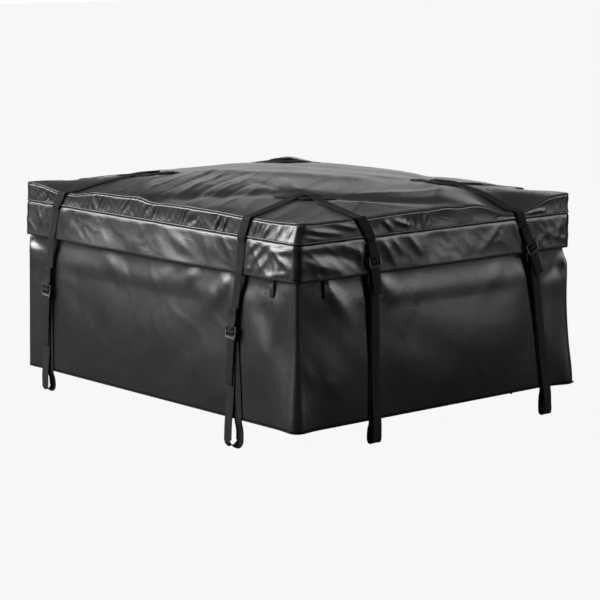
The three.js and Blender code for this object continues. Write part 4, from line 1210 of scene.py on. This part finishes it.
@dataclass
class MainBody:
    """The four walls, the base and the seam round the foot."""

    bench: Workbench
    step: float = 6.6
    wall_top: float = 338.0
    rear_top: float = 400.6
    seam_radius: float = 1.5

    def build(self) -> None:
        """Builds the body's pieces."""
        self.walls()
        self.rear_hinge()
        self.base()
        self.foot_seam()

    def walls(self) -> None:
        """The walls as one shell that sags and creases."""
        form = self.bench.form
        ring = form.ring(self.step)
        z = np.linspace(form.base_seam, self.wall_top, 51)[:, None]
        points = self.bench.ring_points(ring, form.wall_out(ring, z), z)
        piece = self.bench.panel("wall_shell", points, self.bench.ring_uv(ring, z), True, form.fabric)
        nodes = tuple(f"{side.name.lower()}_wall" for side in Side)
        # The walls use the darker fabric copy, whose colour paints shade on them.
        self.bench.finish(piece, self.bench.finishes.fabric_wall, "coated_fabric", replaces=nodes)

    def rear_hinge(self) -> None:
        """The rear wall's top, which joins the lid under the flap."""
        form = self.bench.form
        ring = form.ring(self.step * 2)
        here = np.flatnonzero((ring.side == Side.REAR.value) & (np.abs(ring.along) < form.half_length - 8))
        z = np.linspace(self.wall_top - 0.5, self.rear_top, 6)[:, None]
        part = Ring(ring.point[here], ring.normal[here], ring.along[here], ring.side[here],
                    np.append(ring.arc[here], 0))
        points = self.bench.ring_points(part, -form.wall_inset + 0 * part.along[None], z)
        uv = np.stack([part.arc[None, :-1] + 0 * z, z + 0 * part.arc[None, :-1]], -1) * MM
        piece = self.bench.panel("rear_hinge_strip", points, uv, False, form.fabric)
        self.bench.finish(piece, self.bench.finishes.fabric, "coated_fabric")

    def base(self) -> None:
        """The base, flat in the middle and curled up to its seam."""
        form = self.bench.form
        reach_x, reach_y = form.half_length - 2.6, form.half_width - 2.6
        x = np.linspace(-reach_x, reach_x, 110)[None, :]
        y = np.linspace(-reach_y, reach_y, 94)[:, None]
        past = np.maximum(np.abs(x) - (reach_x - form.base_curl), np.abs(y) - (reach_y - form.base_curl))
        curl = form.base_seam * ease(np.maximum(past, 0) / form.base_curl)
        ripple = 0.5 * np.maximum(WALL_WAVES.value(x * 2 + 0 * y, y * 2 + 0 * x), 0)
        z = curl + form.fabric + ripple * bell(past, 30)
        px, py = form.inside_corner(x + 0 * y, y + 0 * x, 2.6)
        near_x, near_y = form.half_length - np.abs(px), form.half_width - np.abs(py)
        rear_right = np.where((px > 0) & (py > 0), form.rear_flare, 0.0)
        foot = np.where((px < 0) & (py < 0), form.straight_foot, form.foot_flare)
        flare_x = foot * bell(near_y, form.foot_reach) + rear_right * bell(near_y, form.rear_reach)
        flare_y = foot * bell(near_x, form.foot_reach) + rear_right * bell(near_x, form.rear_reach)
        px, py = px + np.sign(px) * flare_x * bell(near_x, 30), py + np.sign(py) * flare_y * bell(near_y, 30)
        points = np.stack([px, py, z], -1)
        piece = self.bench.panel("base_fabric", points, points[..., :2] * MM, False, form.fabric)
        # The base uses the same darker fabric copy, whose colour paints shade on it.
        self.bench.finish(piece, self.bench.finishes.fabric_wall, "coated_fabric", replaces=("base_panel",))

    def foot_seam(self) -> None:
        """A turned seam round the foot."""
        form = self.bench.form
        ring = form.ring(9.0)
        z = np.array([[form.base_seam]])
        out = form.wall_out(ring, z)[0]
        centres = self.bench.ring_points(ring, out - 0.7, form.base_seam + 0.2 + 0 * out)
        sides = np.column_stack([ring.normal, 0 * out])
        ups = np.tile([0.0, 0.0, 1.0], (len(out), 1))
        piece = self.bench.sweep("foot_seam", centres, sides, ups, circle(self.seam_radius, 8), True)
        self.bench.finish(piece, self.bench.finishes.tape, "trim_tape")


@dataclass
class Lid:
    """The lid's top, its gathered band and the cords along its seams."""

    bench: Workbench

    def build(self) -> None:
        """Builds the lid's pieces."""
        self.top()
        self.band()
        self.pipings()
        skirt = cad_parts["lid_skirt"]
        skirt.data.materials.clear()
        skirt.data.materials.append(self.bench.finishes.fabric_plain)

    def top(self) -> None:
        """The crowned top with its folds."""
        form = self.bench.form
        margin = form.lid_margin()
        x = np.linspace(-(form.half_length - margin), form.half_length - margin, 164)[None, :]
        y = np.linspace(-(form.half_width - margin), form.half_width - margin, 140)[:, None]
        z = form.lid_surface(x + 0 * y, y + 0 * x)
        px, py = form.inside_corner(x + 0 * y, y + 0 * x, margin)
        py = py + form.near_lean(px, py)
        piece = self.bench.panel("lid_fabric", np.stack([px, py, z], -1), np.stack([px, py], -1) * MM,
                                 False, form.fabric)
        self.bench.finish(piece, self.bench.finishes.fabric, "coated_fabric", replaces=("lid_top",))

    def band(self) -> None:
        """The band between the lid's edge and the flap's seam, gathered."""
        form = self.bench.form
        ring = form.ring(2.6)
        share = np.linspace(0, 1, 13)[:, None]
        foot = form.band_seam + form.seam_lift
        top = form.edge_height(ring) - form.piping * 2 + 0.6
        z = foot + (top - foot) * share
        points = self.bench.ring_points(ring, form.band_out(ring, share), z)
        points[..., 1] += form.near_lean(ring.point[:, 0], ring.point[:, 1]) * share
        uv = self.bench.ring_uv(ring, foot + 45 * share)
        piece = self.bench.panel("gathered_band", points, uv, True, form.fabric * 0.8)
        self.bench.finish(piece, self.bench.finishes.fabric, "coated_fabric", replaces=("lid_band",))

    def pipings(self) -> None:
        """The cords along the lid's edge and the band's seam."""
        form = self.bench.form
        ring = form.ring(5.0)
        edge = form.edge_height(ring)
        lean = form.near_lean(ring.point[:, 0], ring.point[:, 1])
        sides = np.column_stack([ring.normal, 0 * edge])
        ups = np.tile([0.0, 0.0, 1.0], (len(edge), 1))
        cord = circle(form.piping, 10)
        top = self.bench.ring_points(ring, np.full(len(edge), -form.piping), edge - form.piping - 0.8)
        top[:, 1] += lean
        piece = self.bench.sweep("lid_edge_cord", top, sides, ups, cord, True)
        self.bench.finish(piece, self.bench.finishes.tape, "trim_tape", replaces=("top_piping",))
        foot = np.full(len(edge), form.band_seam + form.seam_lift)
        seam = self.bench.ring_points(ring, np.full(len(edge), -0.1), foot)
        piece = self.bench.sweep("band_seam_cord", seam, sides, ups, cord * 0.95, True)
        self.bench.finish(piece, self.bench.finishes.fabric, "coated_fabric", replaces=("seam_piping",))


@dataclass
class StormFlap:
    """The flap that covers the zip, its hem binding and its corner tapes."""

    bench: Workbench
    stitches: StitchMaker
    step: float = 4.6
    binding_proud: float = 0.9
    hem_height: float = 5.4

    def build(self) -> None:
        """Builds the flap's pieces."""
        self.cloth()
        self.hem()
        self.corners()

    def cloth(self) -> None:
        """The flap's cloth, wrinkled towards the corners."""
        form = self.bench.form
        ring = form.ring(self.step)
        z = np.linspace(form.hem + 1.4, form.band_seam - 1.0, 19)[:, None]
        points = self.bench.ring_points(ring, form.flap_out(ring, z), z)
        piece = self.bench.panel("storm_flap", points, self.bench.ring_uv(ring, z), True, form.fabric * 0.9)
        nodes = tuple(f"storm_flap_{side.name.lower()}" for side in Side)
        self.bench.finish(piece, self.bench.finishes.fabric, "coated_fabric", replaces=nodes)

    def hem(self) -> None:
        """The binding folded round the flap's hem, with its row of stitches."""
        form = self.bench.form
        ring = form.ring(4.0)
        middle = form.hem + self.hem_height / 2
        out = form.flap_out(ring, np.array([[middle]]))[0]
        low = form.flap_out(ring, np.array([[form.hem + 1.0]]))[0]
        lean = (out - low)[:, None] / (self.hem_height / 2)
        centres = self.bench.ring_points(ring, out, np.full(len(out), middle))
        sides = np.column_stack([ring.normal, 0 * out])
        ups = unit(np.column_stack([ring.normal * lean, np.ones(len(out))]))
        high, proud, back = self.hem_height / 2, self.binding_proud, -form.fabric - 0.3
        profile = np.array([
            (proud - 0.1, high - 0.2), (proud, 0.0), (proud, -high + 1.0), (proud - 0.5, -high + 0.3),
            (-0.6, -high), (back + 0.4, -high + 0.4), (back, -high + 1.2), (back, high - 0.4),
            (back + 0.5, high), (proud - 0.3, high),
        ])
        piece = self.bench.sweep("hem_tape", centres, sides, ups, profile, True)
        self.bench.finish(piece, self.bench.finishes.tape, "trim_tape", replaces=("hem_binding",))
        row = form.flap_out(ring, np.array([[form.hem + 7.5]]))[0]
        self.seam_row("hem_stitches", ring, row + 0.15, form.hem + 7.5)
        top = form.flap_out(ring, np.array([[form.band_seam - 11.0]]))[0]
        self.seam_row("seam_stitches", ring, top + 0.15, form.band_seam - 11.0)

    def seam_row(self, name: str, ring: Ring, out: Array, z: float, pitch: float = 4.4) -> None:
        """A row of stitches round the bag at one height."""
        total = ring.arc[-1]
        places = np.arange(0, total - pitch, pitch)
        loop = self.bench.ring_points(ring, out, np.full(len(out), z))
        loop = np.vstack([loop, loop[:1]])
        normal = np.vstack([ring.normal, ring.normal[:1]])
        centres = np.column_stack([np.interp(places, ring.arc, loop[:, k]) for k in range(3)])
        normals = np.column_stack([np.interp(places, ring.arc, normal[:, k]) for k in range(2)] + [0 * places])
        tangents = np.column_stack([-normals[:, 1], normals[:, 0], 0 * places])
        self.stitches.along(name, centres, tangents, normals)

    def corners(self) -> None:
        """The tapes that bind the flap's corner seams."""
        form = self.bench.form
        names = ("front_right", "rear_right", "rear_left", "front_left")
        ring = form.ring(3.0, 6)
        for turn, name in enumerate(names):
            half = form.side_half(turn)
            corner = np.array(form.to_row(turn, half, 0.0), float)
            near = np.flatnonzero(np.hypot(*(ring.point - corner).T) < 13.0)
            near = near[np.argsort(((ring.arc[near] - ring.arc[near[0]] + 900) % ring.arc[-1]))]
            z = np.linspace(form.hem + form.binding, form.band_seam - 2.2, 14)[:, None]
            part = Ring(ring.point[near], ring.normal[near], ring.along[near], ring.side[near],
                        np.append(ring.arc[near], ring.arc[near[-1]] + 3.0))
            out = form.flap_out(part, z) + 1.1 + 0.25 * np.sin(z / 5.5)
            points = self.bench.ring_points(part, out, z)
            uv = np.stack([z + 0 * part.along[None], part.arc[None, :-1] + 0 * z], -1) * MM
            piece = self.bench.panel(f"corner_binding_{name}", points, uv, False, 1.1)
            self.bench.finish(piece, self.bench.finishes.tape, "trim_tape", replaces=(f"corner_tape_{name}",))


@dataclass
class Zip:
    """The zip under the flap: tapes, stops, sliders and pulls."""

    bench: Workbench

    def build(self) -> None:
        """Dresses the zip's nodes and rounds the parts that show."""
        finishes = self.bench.finishes
        for node, material in (("zip_lower", finishes.tape_plain), ("zip_upper", finishes.tape_plain),
                               ("zip_stop_left", finishes.metal), ("zip_stop_right", finishes.metal)):
            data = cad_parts[node].data
            data.materials.clear()
            data.materials.append(material)
        for side in ("front", "right"):
            slider = self.bench.softened_copy(f"zip_slider_{side}", f"slider_{side}", 0.25)
            self.bench.finish(slider, finishes.metal, "slider_metal", f"{side}_slider", (f"zip_slider_{side}",))
            pull = self.bench.softened_copy(f"zip_pull_{side}", f"pull_{side}", 0.5)
            self.bench.finish(pull, finishes.plastic, "moulded_plastic", f"{side}_pull", (f"zip_pull_{side}",))


@dataclass
class LidPatches:
    """The four patches that anchor the straps on the lid."""

    bench: Workbench
    stitches: StitchMaker
    thickness: float = 1.3
    margin: float = 5.0

    def build(self) -> None:
        """Builds each patch with its stitched border."""
        form = self.bench.form
        for sign_x in (1, -1):
            for sign_y in (-1, 1):
                name = f"{'front' if sign_y < 0 else 'rear'}_{'right' if sign_x > 0 else 'left'}"
                cx, cy = form.patch_centre(sign_x, sign_y)
                x = np.linspace(cx - form.patch_length / 2, cx + form.patch_length / 2, 30)[None, :]
                y = np.linspace(cy - form.patch_width / 2, cy + form.patch_width / 2, 28)[:, None]
                z = self.height(x + 0 * y, y + 0 * x)
                points = np.stack([x + 0 * y, y + 0 * x, z], -1)
                piece = self.bench.panel(f"patch_{name}", points, points[..., :2] * MM, False, self.thickness)
                edge = piece.modifiers.new("edges", "BEVEL")
                edge.width, edge.segments, edge.limit_method = 0.4 * MM, 2, "ANGLE"
                self.bench.apply(piece)
                self.bench.finish(piece, self.bench.finishes.tape, "trim_tape",
                                  replaces=(f"lid_patch_{name}",))
                self.border(name, cx, cy)

    def height(self, x: Array, y: Array) -> Array:
        """Top face of a crumpled patch on the lid."""
        crumple = 0.55 * PATCH_CRUMPLE.value(x, y) + 0.9 * (PATCH_CRUMPLE.ridges(x, y) - 0.3)
        return self.bench.form.lid_surface(x, y) + 0.9 + crumple + self.thickness

    def border(self, name: str, cx: float, cy: float, pitch: float = 4.2) -> None:
        """Stitches round the patch's border."""
        form = self.bench.form
        hx, hy = form.patch_length / 2 - self.margin, form.patch_width / 2 - self.margin
        centres, tangents = [], []
        for x0, y0, x1, y1 in ((-hx, -hy, hx, -hy), (hx, -hy, hx, hy), (hx, hy, -hx, hy), (-hx, hy, -hx, -hy)):
            count = int(math.hypot(x1 - x0, y1 - y0) / pitch)
            for share in (np.arange(count) + 0.5) / count:
                centres.append((cx + x0 + (x1 - x0) * share, cy + y0 + (y1 - y0) * share))
                tangents.append((x1 - x0, y1 - y0, 0.0))
        flat = np.array(centres)
        z = self.height(flat[:, 0], flat[:, 1]) + 0.1
        normals = np.tile([0.0, 0.0, 1.0], (len(flat), 1))
        self.stitches.along(f"patch_stitches_{name}", np.column_stack([flat, z]), np.array(tangents), normals)


@dataclass
class Straps:
    """The eight webbing straps with their loops, buckle tabs, ladder-lock buckles and box stitches."""

    bench: Workbench
    stitches: StitchMaker
    patches: LidPatches
    width: float = 25.0
    thickness: float = 1.6
    gap: float = 0.3
    bar_radius: float = 2.0
    buckle_height: float = 29.0
    lip_height: float = 7.0
    loop_opening: float = 13.0
    tab_gap: float = 19.0
    tab_length: float = 22.0
    middle_bar: float = 1.0

    def __post_init__(self) -> None:
        """Works out where each layer of webbing lies from the wall."""
        self.rear = self.thickness / 2 + 2 * self.gap
        self.over_hem = 0.9 + self.thickness / 2 + 2 * self.gap
        self.front = self.over_hem + self.thickness + 2 * self.gap
        self.outermost = self.front + self.thickness + self.gap
        self.wrap = self.bar_radius + self.gap + self.thickness / 2
        self.bar_out = self.front + self.wrap
        self.top_bar = self.buckle_height / 2 - self.bar_radius - 1

    def build(self) -> None:
        """Builds each strap with its tab and buckle."""
        for plan in STRAPS:
            route = np.vstack([self.lid_run(plan), self.wall_run(plan), self.loop_run(plan),
                               self.buckle_run(plan)])
            self.ribbon(f"webbing_{plan.name}", plan, route, f"strap_{plan.name}")
            self.ribbon(f"tab_{plan.name}", plan, self.tab_run(plan), f"buckle_tab_{plan.name}")
            buckle = self.bench.softened_copy(f"buckle_{plan.name}", f"ladder_lock_{plan.name}", 0.45)
            self.bench.finish(buckle, self.bench.finishes.plastic, "moulded_plastic",
                              replaces=(f"buckle_{plan.name}",))
            self.box_stitches(plan)

    def tilt(self, plan: StrapPlan) -> float:
        """How far the strap leans from upright at its buckle."""
        form = self.bench.form
        return math.atan2(form.front_x(plan, plan.buckle + 10) - form.front_x(plan, plan.buckle - 10), 20.0)

    def leaning(self, plan: StrapPlan, profile: list[tuple[float, float]]) -> Array:
        """Stops near the buckle, in line with the leaning strap: x, out, z and tilt."""
        tilt = self.tilt(plan)
        x = self.bench.form.front_x(plan, plan.buckle)
        return np.array([(x + rise * math.sin(tilt), out, plan.buckle + rise * math.cos(tilt), tilt)
                         for out, rise in profile])

    def lid_run(self, plan: StrapPlan) -> Array:
        """The strap's run over its patch and the lid."""
        form = self.bench.form
        start, end = form.strap_lid_line(plan)
        side = plan.side.value
        length = float(np.linalg.norm(end - start))
        count = int(length / 7)
        share = np.linspace(0, 1, count + 1)
        share = share[share < 1 - 13 / length]
        line = start + (end - start) * share[:, None]
        run = (end - start) / length
        across = np.array([-run[1], run[0]])
        seat = np.full(len(share), -1e9)
        for offset in (-12.5, -6, 0, 6, 12.5):
            for ahead in (-5, 0, 5):
                spot = line + across * offset + run * ahead
                seat = np.maximum(seat, form.lid_surface(spot[:, 0], spot[:, 1]))
        kernel = np.ones(5) / 5
        padded = np.concatenate([[seat[0]] * 2, seat, [seat[-1]] * 2])
        seat = np.maximum(seat, np.convolve(padded, kernel, "valid"))
        travelled = share * length
        on_patch = 1 - ease((travelled - STRAP_PAST_PATCH - form.patch_width / 2 - 2) / 8)
        crossing = 1 - ease((travelled - STRAP_PAST_PATCH - self.width - 4) / 16)
        lift = on_patch * (self.patches.thickness + 0.6) + crossing * plan.level * (self.thickness + 0.5)
        z = seat + lift + 0.4 + self.thickness / 2
        x, inward = self.to_side(side, line)
        return np.column_stack([x, -inward, z, np.zeros(len(x))])

    def to_side(self, side: int, line: Array) -> tuple[Array, Array]:
        """A side's own x and inward distance for places in the row frame."""
        cos, sin = TURNS[side]
        x = cos * line[:, 0] + sin * line[:, 1]
        y = -sin * line[:, 0] + cos * line[:, 1]
        return x, y + self.bench.form.side_out(side)

    def wall_run(self, plan: StrapPlan) -> Array:
        """Over the lid's edge and down the band, the flap and the wall."""
        form = self.bench.form
        edge_x = float(form.strap_x(plan, form.top_edge))
        edge = max(float(form.lid_base(*form.to_row(plan.side.value, edge_x + offset, 0.0)))
                   for offset in (-12.5, 0, 12.5))
        bend = form.piping + self.thickness / 2 + self.gap + 1.7
        profile = [(-form.piping + bend * math.cos(math.radians(a)),
                    edge - form.piping + bend * math.sin(math.radians(a)))
                   for a in (90, 70, 50, 30, 10, 0)]
        profile += [
            (self.rear + form.piping, form.band_seam + 4), (self.rear + form.piping, form.band_seam - 4),
            (self.rear, form.band_seam - 10), (self.rear, form.hem + form.binding + 10),
            (self.over_hem, form.hem + form.binding + 4), (self.over_hem, form.hem - 1),
            (self.rear, form.hem - 10), (self.rear, form.strap_upper), (self.rear, form.base_seam + 60),
        ]
        return np.array([(float(form.strap_x(plan, z)), out, z, 0.0) for out, z in profile])

    def loop_run(self, plan: StrapPlan) -> Array:
        """The open loop below the base: a narrow U from the rear strand over to the front one."""
        form = self.bench.form
        depth, front, bend = plan.loop, self.front + 4.5, self.loop_opening / 2
        back = front - self.loop_opening
        route = [(self.rear, form.base_seam + 20, 0.0), (self.rear, form.base_seam - 6, 0.0),
                 (back * 0.5, -depth * 0.3, 0.0), (back, -depth * 0.62, 0.03)]
        for share in (0.1, 0.3, 0.5, 0.7, 0.9):
            angle = math.pi * (1.25 * share + 0.875)
            route.append((back + bend + bend * math.cos(angle), bend - depth + bend * math.sin(angle), share))
        route += [(front, -depth * 0.55, 0.98), (front, -depth * 0.2, 1.0), (self.front, form.base_seam + 50, 1.0)]
        stops = []
        for out, z, over in route:
            rear_x = float(form.strap_x(plan, z))
            stops.append((rear_x + over * (form.front_x(plan, z) - rear_x), out, z, 0.0))
        return np.array(stops)

    def buckle_run(self, plan: StrapPlan) -> Array:
        """Up to the buckle, over its middle bar, behind its lip and down the tail."""
        profile = [(self.front, self.middle_bar - 18), (self.front, self.middle_bar - 8)]
        profile += self.round_bar(self.middle_bar, range(180, -36, -18))
        foot = -self.buckle_height / 2
        profile += [(self.outermost, foot + self.lip_height + self.gap), (self.outermost, foot - 4),
                    (self.outermost + 0.6, foot - plan.tail * 0.4), (self.outermost + 0.2, foot - plan.tail * 0.75),
                    (self.outermost, foot - plan.tail)]
        return self.leaning(plan, profile)

    def round_bar(self, middle: float, degrees: range) -> "list[tuple[float, float]]":
        """The webbing's bend round one of a buckle's bars."""
        angles = [math.radians(turn) for turn in degrees]
        return [(self.bar_out + self.wrap * math.cos(angle), middle + self.wrap * math.sin(angle))
                for angle in angles]

    def tab_run(self, plan: StrapPlan) -> Array:
        """The short webbing that is sewn above the buckle and goes round its top bar."""
        stitch_foot = self.buckle_height / 2 + self.tab_gap
        end = min(stitch_foot + self.tab_length, self.bench.form.band_seam - 12 - plan.buckle)
        inner = self.over_hem + self.thickness + self.gap
        outer = inner + self.thickness + self.gap
        profile = [(inner, end), (inner, stitch_foot - 6)]
        profile += self.round_bar(self.top_bar, range(170, 371, 20))
        profile += [(outer, stitch_foot - 4), (outer, end)]
        return self.leaning(plan, profile)

    @staticmethod
    def smoothed(route: Array, spacing: float = 3.6) -> Array:
        """A smooth curve through the stops, with even small steps.

        Args:
            route: stops as rows of x, out, z and tilt.
            spacing: longest step.

        Returns:
            The resampled stops.
        """
        ghost = np.vstack([2 * route[0] - route[1], route, 2 * route[-1] - route[-2]])
        result = []
        for k in range(1, len(ghost) - 2):
            p0, p1, p2, p3 = ghost[k - 1: k + 3]
            d1 = max(np.linalg.norm(p1[:3] - p0[:3]), 1e-6) ** 0.5
            d2 = max(np.linalg.norm(p2[:3] - p1[:3]), 1e-6) ** 0.5
            d3 = max(np.linalg.norm(p3[:3] - p2[:3]), 1e-6) ** 0.5
            m1 = (p2 - p1) + d2 * ((p1 - p0) / d1 - (p2 - p0) / (d1 + d2))
            m2 = (p2 - p1) + d2 * ((p3 - p2) / d3 - (p3 - p1) / (d2 + d3))
            count = max(1, math.ceil(np.linalg.norm(p2[:3] - p1[:3]) / spacing))
            t = (np.arange(count) / count)[:, None]
            result.append((2 * t**3 - 3 * t**2 + 1) * p1 + (t**3 - 2 * t**2 + t) * m1
                          + (-2 * t**3 + 3 * t**2) * p2 + (t**3 - t**2) * m2)
        return np.vstack([*result, route[-1:]])

    def axes(self, plan: StrapPlan, stops: Array) -> tuple[Array, Array, Array]:
        """Row-frame points, width directions and faces of a ribbon.

        Args:
            plan: the strap.
            stops: its stops in the side's frame.

        Returns:
            The points, the directions across and the directions out of the webbing.
        """
        local = np.column_stack([stops[:, 0], -stops[:, 1], stops[:, 2]])
        level = np.column_stack([np.cos(stops[:, 3]), 0 * stops[:, 3], -np.sin(stops[:, 3])])
        run = unit(np.gradient(local, axis=0))
        across = unit(level - run * np.sum(level * run, axis=1, keepdims=True))
        face = np.cross(run, across)
        cos, sin = TURNS[plan.side.value]
        turn = np.array([[cos, sin, 0], [-sin, cos, 0], [0, 0, 1]], float)
        local[:, 1] -= self.bench.form.side_out(plan.side.value)
        return local @ turn, across @ turn, face @ turn

    def ribbon(self, name: str, plan: StrapPlan, route: Array, node: str) -> None:
        """A ribbon of webbing with firm rounded edges."""
        stops = self.smoothed(route)
        points, across, face = self.axes(plan, stops)
        half, thick = self.width / 2, self.thickness / 2
        top = [(half - 0.15, thick * 0.55), (half - 0.7, thick * 0.98), (half * 0.5, thick * 0.9), (0.0, thick),
               (-half * 0.5, thick * 0.9), (-half + 0.7, thick * 0.98), (-half + 0.15, thick * 0.55)]
        low = [(x, -y) for x, y in reversed(top)]
        piece = self.bench.sweep(name, points, across, face, np.array(top + low), False)
        self.bench.finish(piece, self.bench.finishes.webbing, "webbing", replaces=(node,))

    def box_stitches(self, plan: StrapPlan) -> None:
        """A stitched box with a cross where the tab is sewn, and one where the strap ends on its patch."""
        stitch_foot = self.buckle_height / 2 + self.tab_gap
        end = min(stitch_foot + self.tab_length, self.bench.form.band_seam - 12 - plan.buckle)
        outer = self.over_hem + 2 * (self.thickness + self.gap)
        low, high = stitch_foot + 0.5, end - 2.5
        stops = self.leaning(plan, [(outer, low), (outer, (low + high) / 2), (outer, high)])
        self.cross_box(f"tab_stitches_{plan.name}", plan, stops)
        route = self.smoothed(self.lid_run(plan))
        travelled = np.concatenate([[0], np.cumsum(np.linalg.norm(np.diff(route[:, :3], axis=0), axis=1))])
        places = (2.5, 14.0, 26.0)
        stops = np.column_stack([np.interp(places, travelled, route[:, k]) for k in range(4)])
        self.cross_box(f"end_stitches_{plan.name}", plan, stops)

    def cross_box(self, name: str, plan: StrapPlan, stops: Array, pitch: float = 3.6) -> None:
        """Stitches as a box with a cross between the first and the last stop."""
        points, across, face = self.axes(plan, stops)
        run = points[-1] - points[0]
        if np.sum(face[1] * np.array([*self.outward(plan), 1.0])) < 0:
            face = -face
        reach = self.width / 2 - 2.6
        corners = {(-1, 0): None, (1, 0): None, (1, 1): None, (-1, 1): None}
        for sign, far in corners:
            corners[(sign, far)] = points[0] + run * far + across[1] * sign * reach
        lines = (((-1, 0), (1, 0)), ((1, 0), (1, 1)), ((1, 1), (-1, 1)), ((-1, 1), (-1, 0)),
                 ((-1, 0), (1, 1)), ((1, 0), (-1, 1)))
        centres, tangents = [], []
        bow = points[1] - (points[0] + points[-1]) / 2
        for a, b in lines:
            p, q = corners[a], corners[b]
            count = max(2, int(np.linalg.norm(q - p) / pitch))
            for share in (np.arange(count) + 0.5) / count:
                spot = p + (q - p) * share
                far = float((spot - points[0]) @ run / (run @ run))
                centres.append(spot + bow * 4 * far * (1 - far) + face[1] * (self.thickness / 2 + 0.1))
                tangents.append(q - p)
        normals = np.tile(face[1], (len(centres), 1))
        self.stitches.along(name, np.array(centres), np.array(tangents), normals, 2.6, 0.7)

    def outward(self, plan: StrapPlan) -> tuple[float, float]:
        """Outward direction of a strap's side in the row frame."""
        cos, sin = TURNS[plan.side.value]
        return float(sin), float(-cos)


@dataclass
class Studio:
    """Camera at the photograph's angle, pale floor and soft lamps."""

    floor_height: float = -0.0645
    camera_place: tuple[float, float, float] = (4.0087, -3.4822, 1.0847)
    heading: float = 48.844
    pitch: float = 9.684
    roll: float = 0.19
    lens: float = 136.51
    floor_glow: float = 0.93
    ambient: float = 0.13

    def build(self) -> None:
        """Builds the camera, the floor, the world and the lamps."""
        self.camera()
        self.floor()
        self.world()
        self.lamp("lamp_overhead", (0.3, -0.6, 3.4), (0.0, 0.0, 0.3), 2.6, 2.6, 30.0)
        self.lamp("lamp_left_front", (-2.1, -3.1, 1.85), (0.1, -0.4, 0.3), 3.0, 1.7, 310.0)
        self.lamp("lamp_right_rear", (3.1, 2.9, 1.5), (0.5, 0.0, 0.3), 1.7, 1.6, 56.0)
        self.lamp("lamp_behind", (-2.9, 3.3, 1.1), (0.0, 0.0, 0.45), 3.0, 0.9, 13.0)

    def camera(self) -> None:
        """Sets the camera where the photograph was taken."""
        turn, dip, roll = (math.radians(a) for a in (self.heading, self.pitch, self.roll))
        forward = Vector((-math.sin(turn) * math.cos(dip), math.cos(turn) * math.cos(dip), -math.sin(dip)))
        right = Vector((math.cos(turn), math.sin(turn), 0.0))
        up = right.cross(forward)
        tilted = right * math.cos(roll) + up * math.sin(roll)
        above = up * math.cos(roll) - right * math.sin(roll)
        data = bpy.data.cameras.new("studio_camera")
        data.sensor_fit, data.sensor_width, data.lens = "HORIZONTAL", 36.0, self.lens
        camera = bpy.data.objects.new("studio_camera", data)
        bpy.context.scene.collection.objects.link(camera)
        axes = Matrix((tilted, above, -forward)).transposed().to_4x4()
        camera.matrix_world = Matrix.Translation(self.camera_place) @ axes
        bpy.context.scene.camera = camera

    def floor(self) -> None:
        """A pale plain floor that keeps the bag's shadow."""
        bpy.ops.object.select_all(action="DESELECT")
        bpy.ops.mesh.primitive_plane_add(size=40.0, location=(0, 0, self.floor_height))
        plane = bpy.context.object
        plane.name = "studio_floor"
        board = ShaderBoard("studio_floor")
        board.shade(Base_Color=(0.034, 0.034, 0.034), Roughness=0.9)
        seen = board.add("ShaderNodeLightPath", {}, {}, "Is Camera Ray")
        glow = board.add("ShaderNodeEmission", {}, {"Color": (1.0, 1.0, 1.0), "Strength": 1.0})
        lit = Signal(board, board.shader.outputs[0])
        mixed = board.add("ShaderNodeMixShader", {}, {0: seen * self.floor_glow, 1: lit, 2: glow})
        surface = board.tree.nodes["Material Output"].inputs["Surface"]
        board.feed(surface, mixed)
        plane.data.materials.append(board.material)

    def world(self) -> None:
        """White for the camera, and dim as light and in reflections."""
        world = bpy.data.worlds.new("studio_world")
        bpy.context.scene.world = world
        world.use_nodes = True
        tree = world.node_tree
        background = tree.nodes["Background"]
        path = tree.nodes.new("ShaderNodeLightPath")
        seen = tree.nodes.new("ShaderNodeMath")
        seen.operation = "MAXIMUM"
        tree.links.new(path.outputs["Is Camera Ray"], seen.inputs[0])
        tree.links.new(path.outputs["Is Transmission Ray"], seen.inputs[1])
        strength = tree.nodes.new("ShaderNodeMapRange")
        strength.inputs["To Min"].default_value = self.ambient
        strength.inputs["To Max"].default_value = 1.0
        tree.links.new(seen.outputs[0], strength.inputs["Value"])
        tree.links.new(strength.outputs["Result"], background.inputs["Strength"])
        background.inputs["Color"].default_value = (1.0, 1.0, 1.0, 1.0)

    def lamp(self, name: str, place: tuple[float, float, float], target: tuple[float, float, float],
             width: float, height: float, power: float) -> None:
        """Adds a soft box.

        Args:
            name: the lamp's name.
            place: where it stands.
            target: what it faces.
            width: its width in metres.
            height: its height in metres.
            power: its power in watts.
        """
        data = bpy.data.lights.new(name, "AREA")
        data.shape, data.size, data.size_y, data.energy = "RECTANGLE", width, height, power
        lamp = bpy.data.objects.new(name, data)
        bpy.context.scene.collection.objects.link(lamp)
        lamp.location = place
        lamp.rotation_euler = (Vector(target) - Vector(place)).to_track_quat("-Z", "Y").to_euler()


def main() -> None:
    """Builds the studio and every sub-assembly in order."""
    logging.basicConfig(level=logging.INFO, format="%(message)s")
    bpy.context.scene.view_settings.view_transform = "Standard"
    Studio().build()
    form = BagForm()
    bench = Workbench(form, FinishSet.make())
    stitches = StitchMaker(bench)
    patches = LidPatches(bench, stitches)
    for assembly in (MainBody(bench), Lid(bench), StormFlap(bench, stitches), Zip(bench),
                     patches, Straps(bench, stitches, patches)):
        assembly.build()
    bpy.context.view_layer.update()


if __name__ == "__main__":
    main()
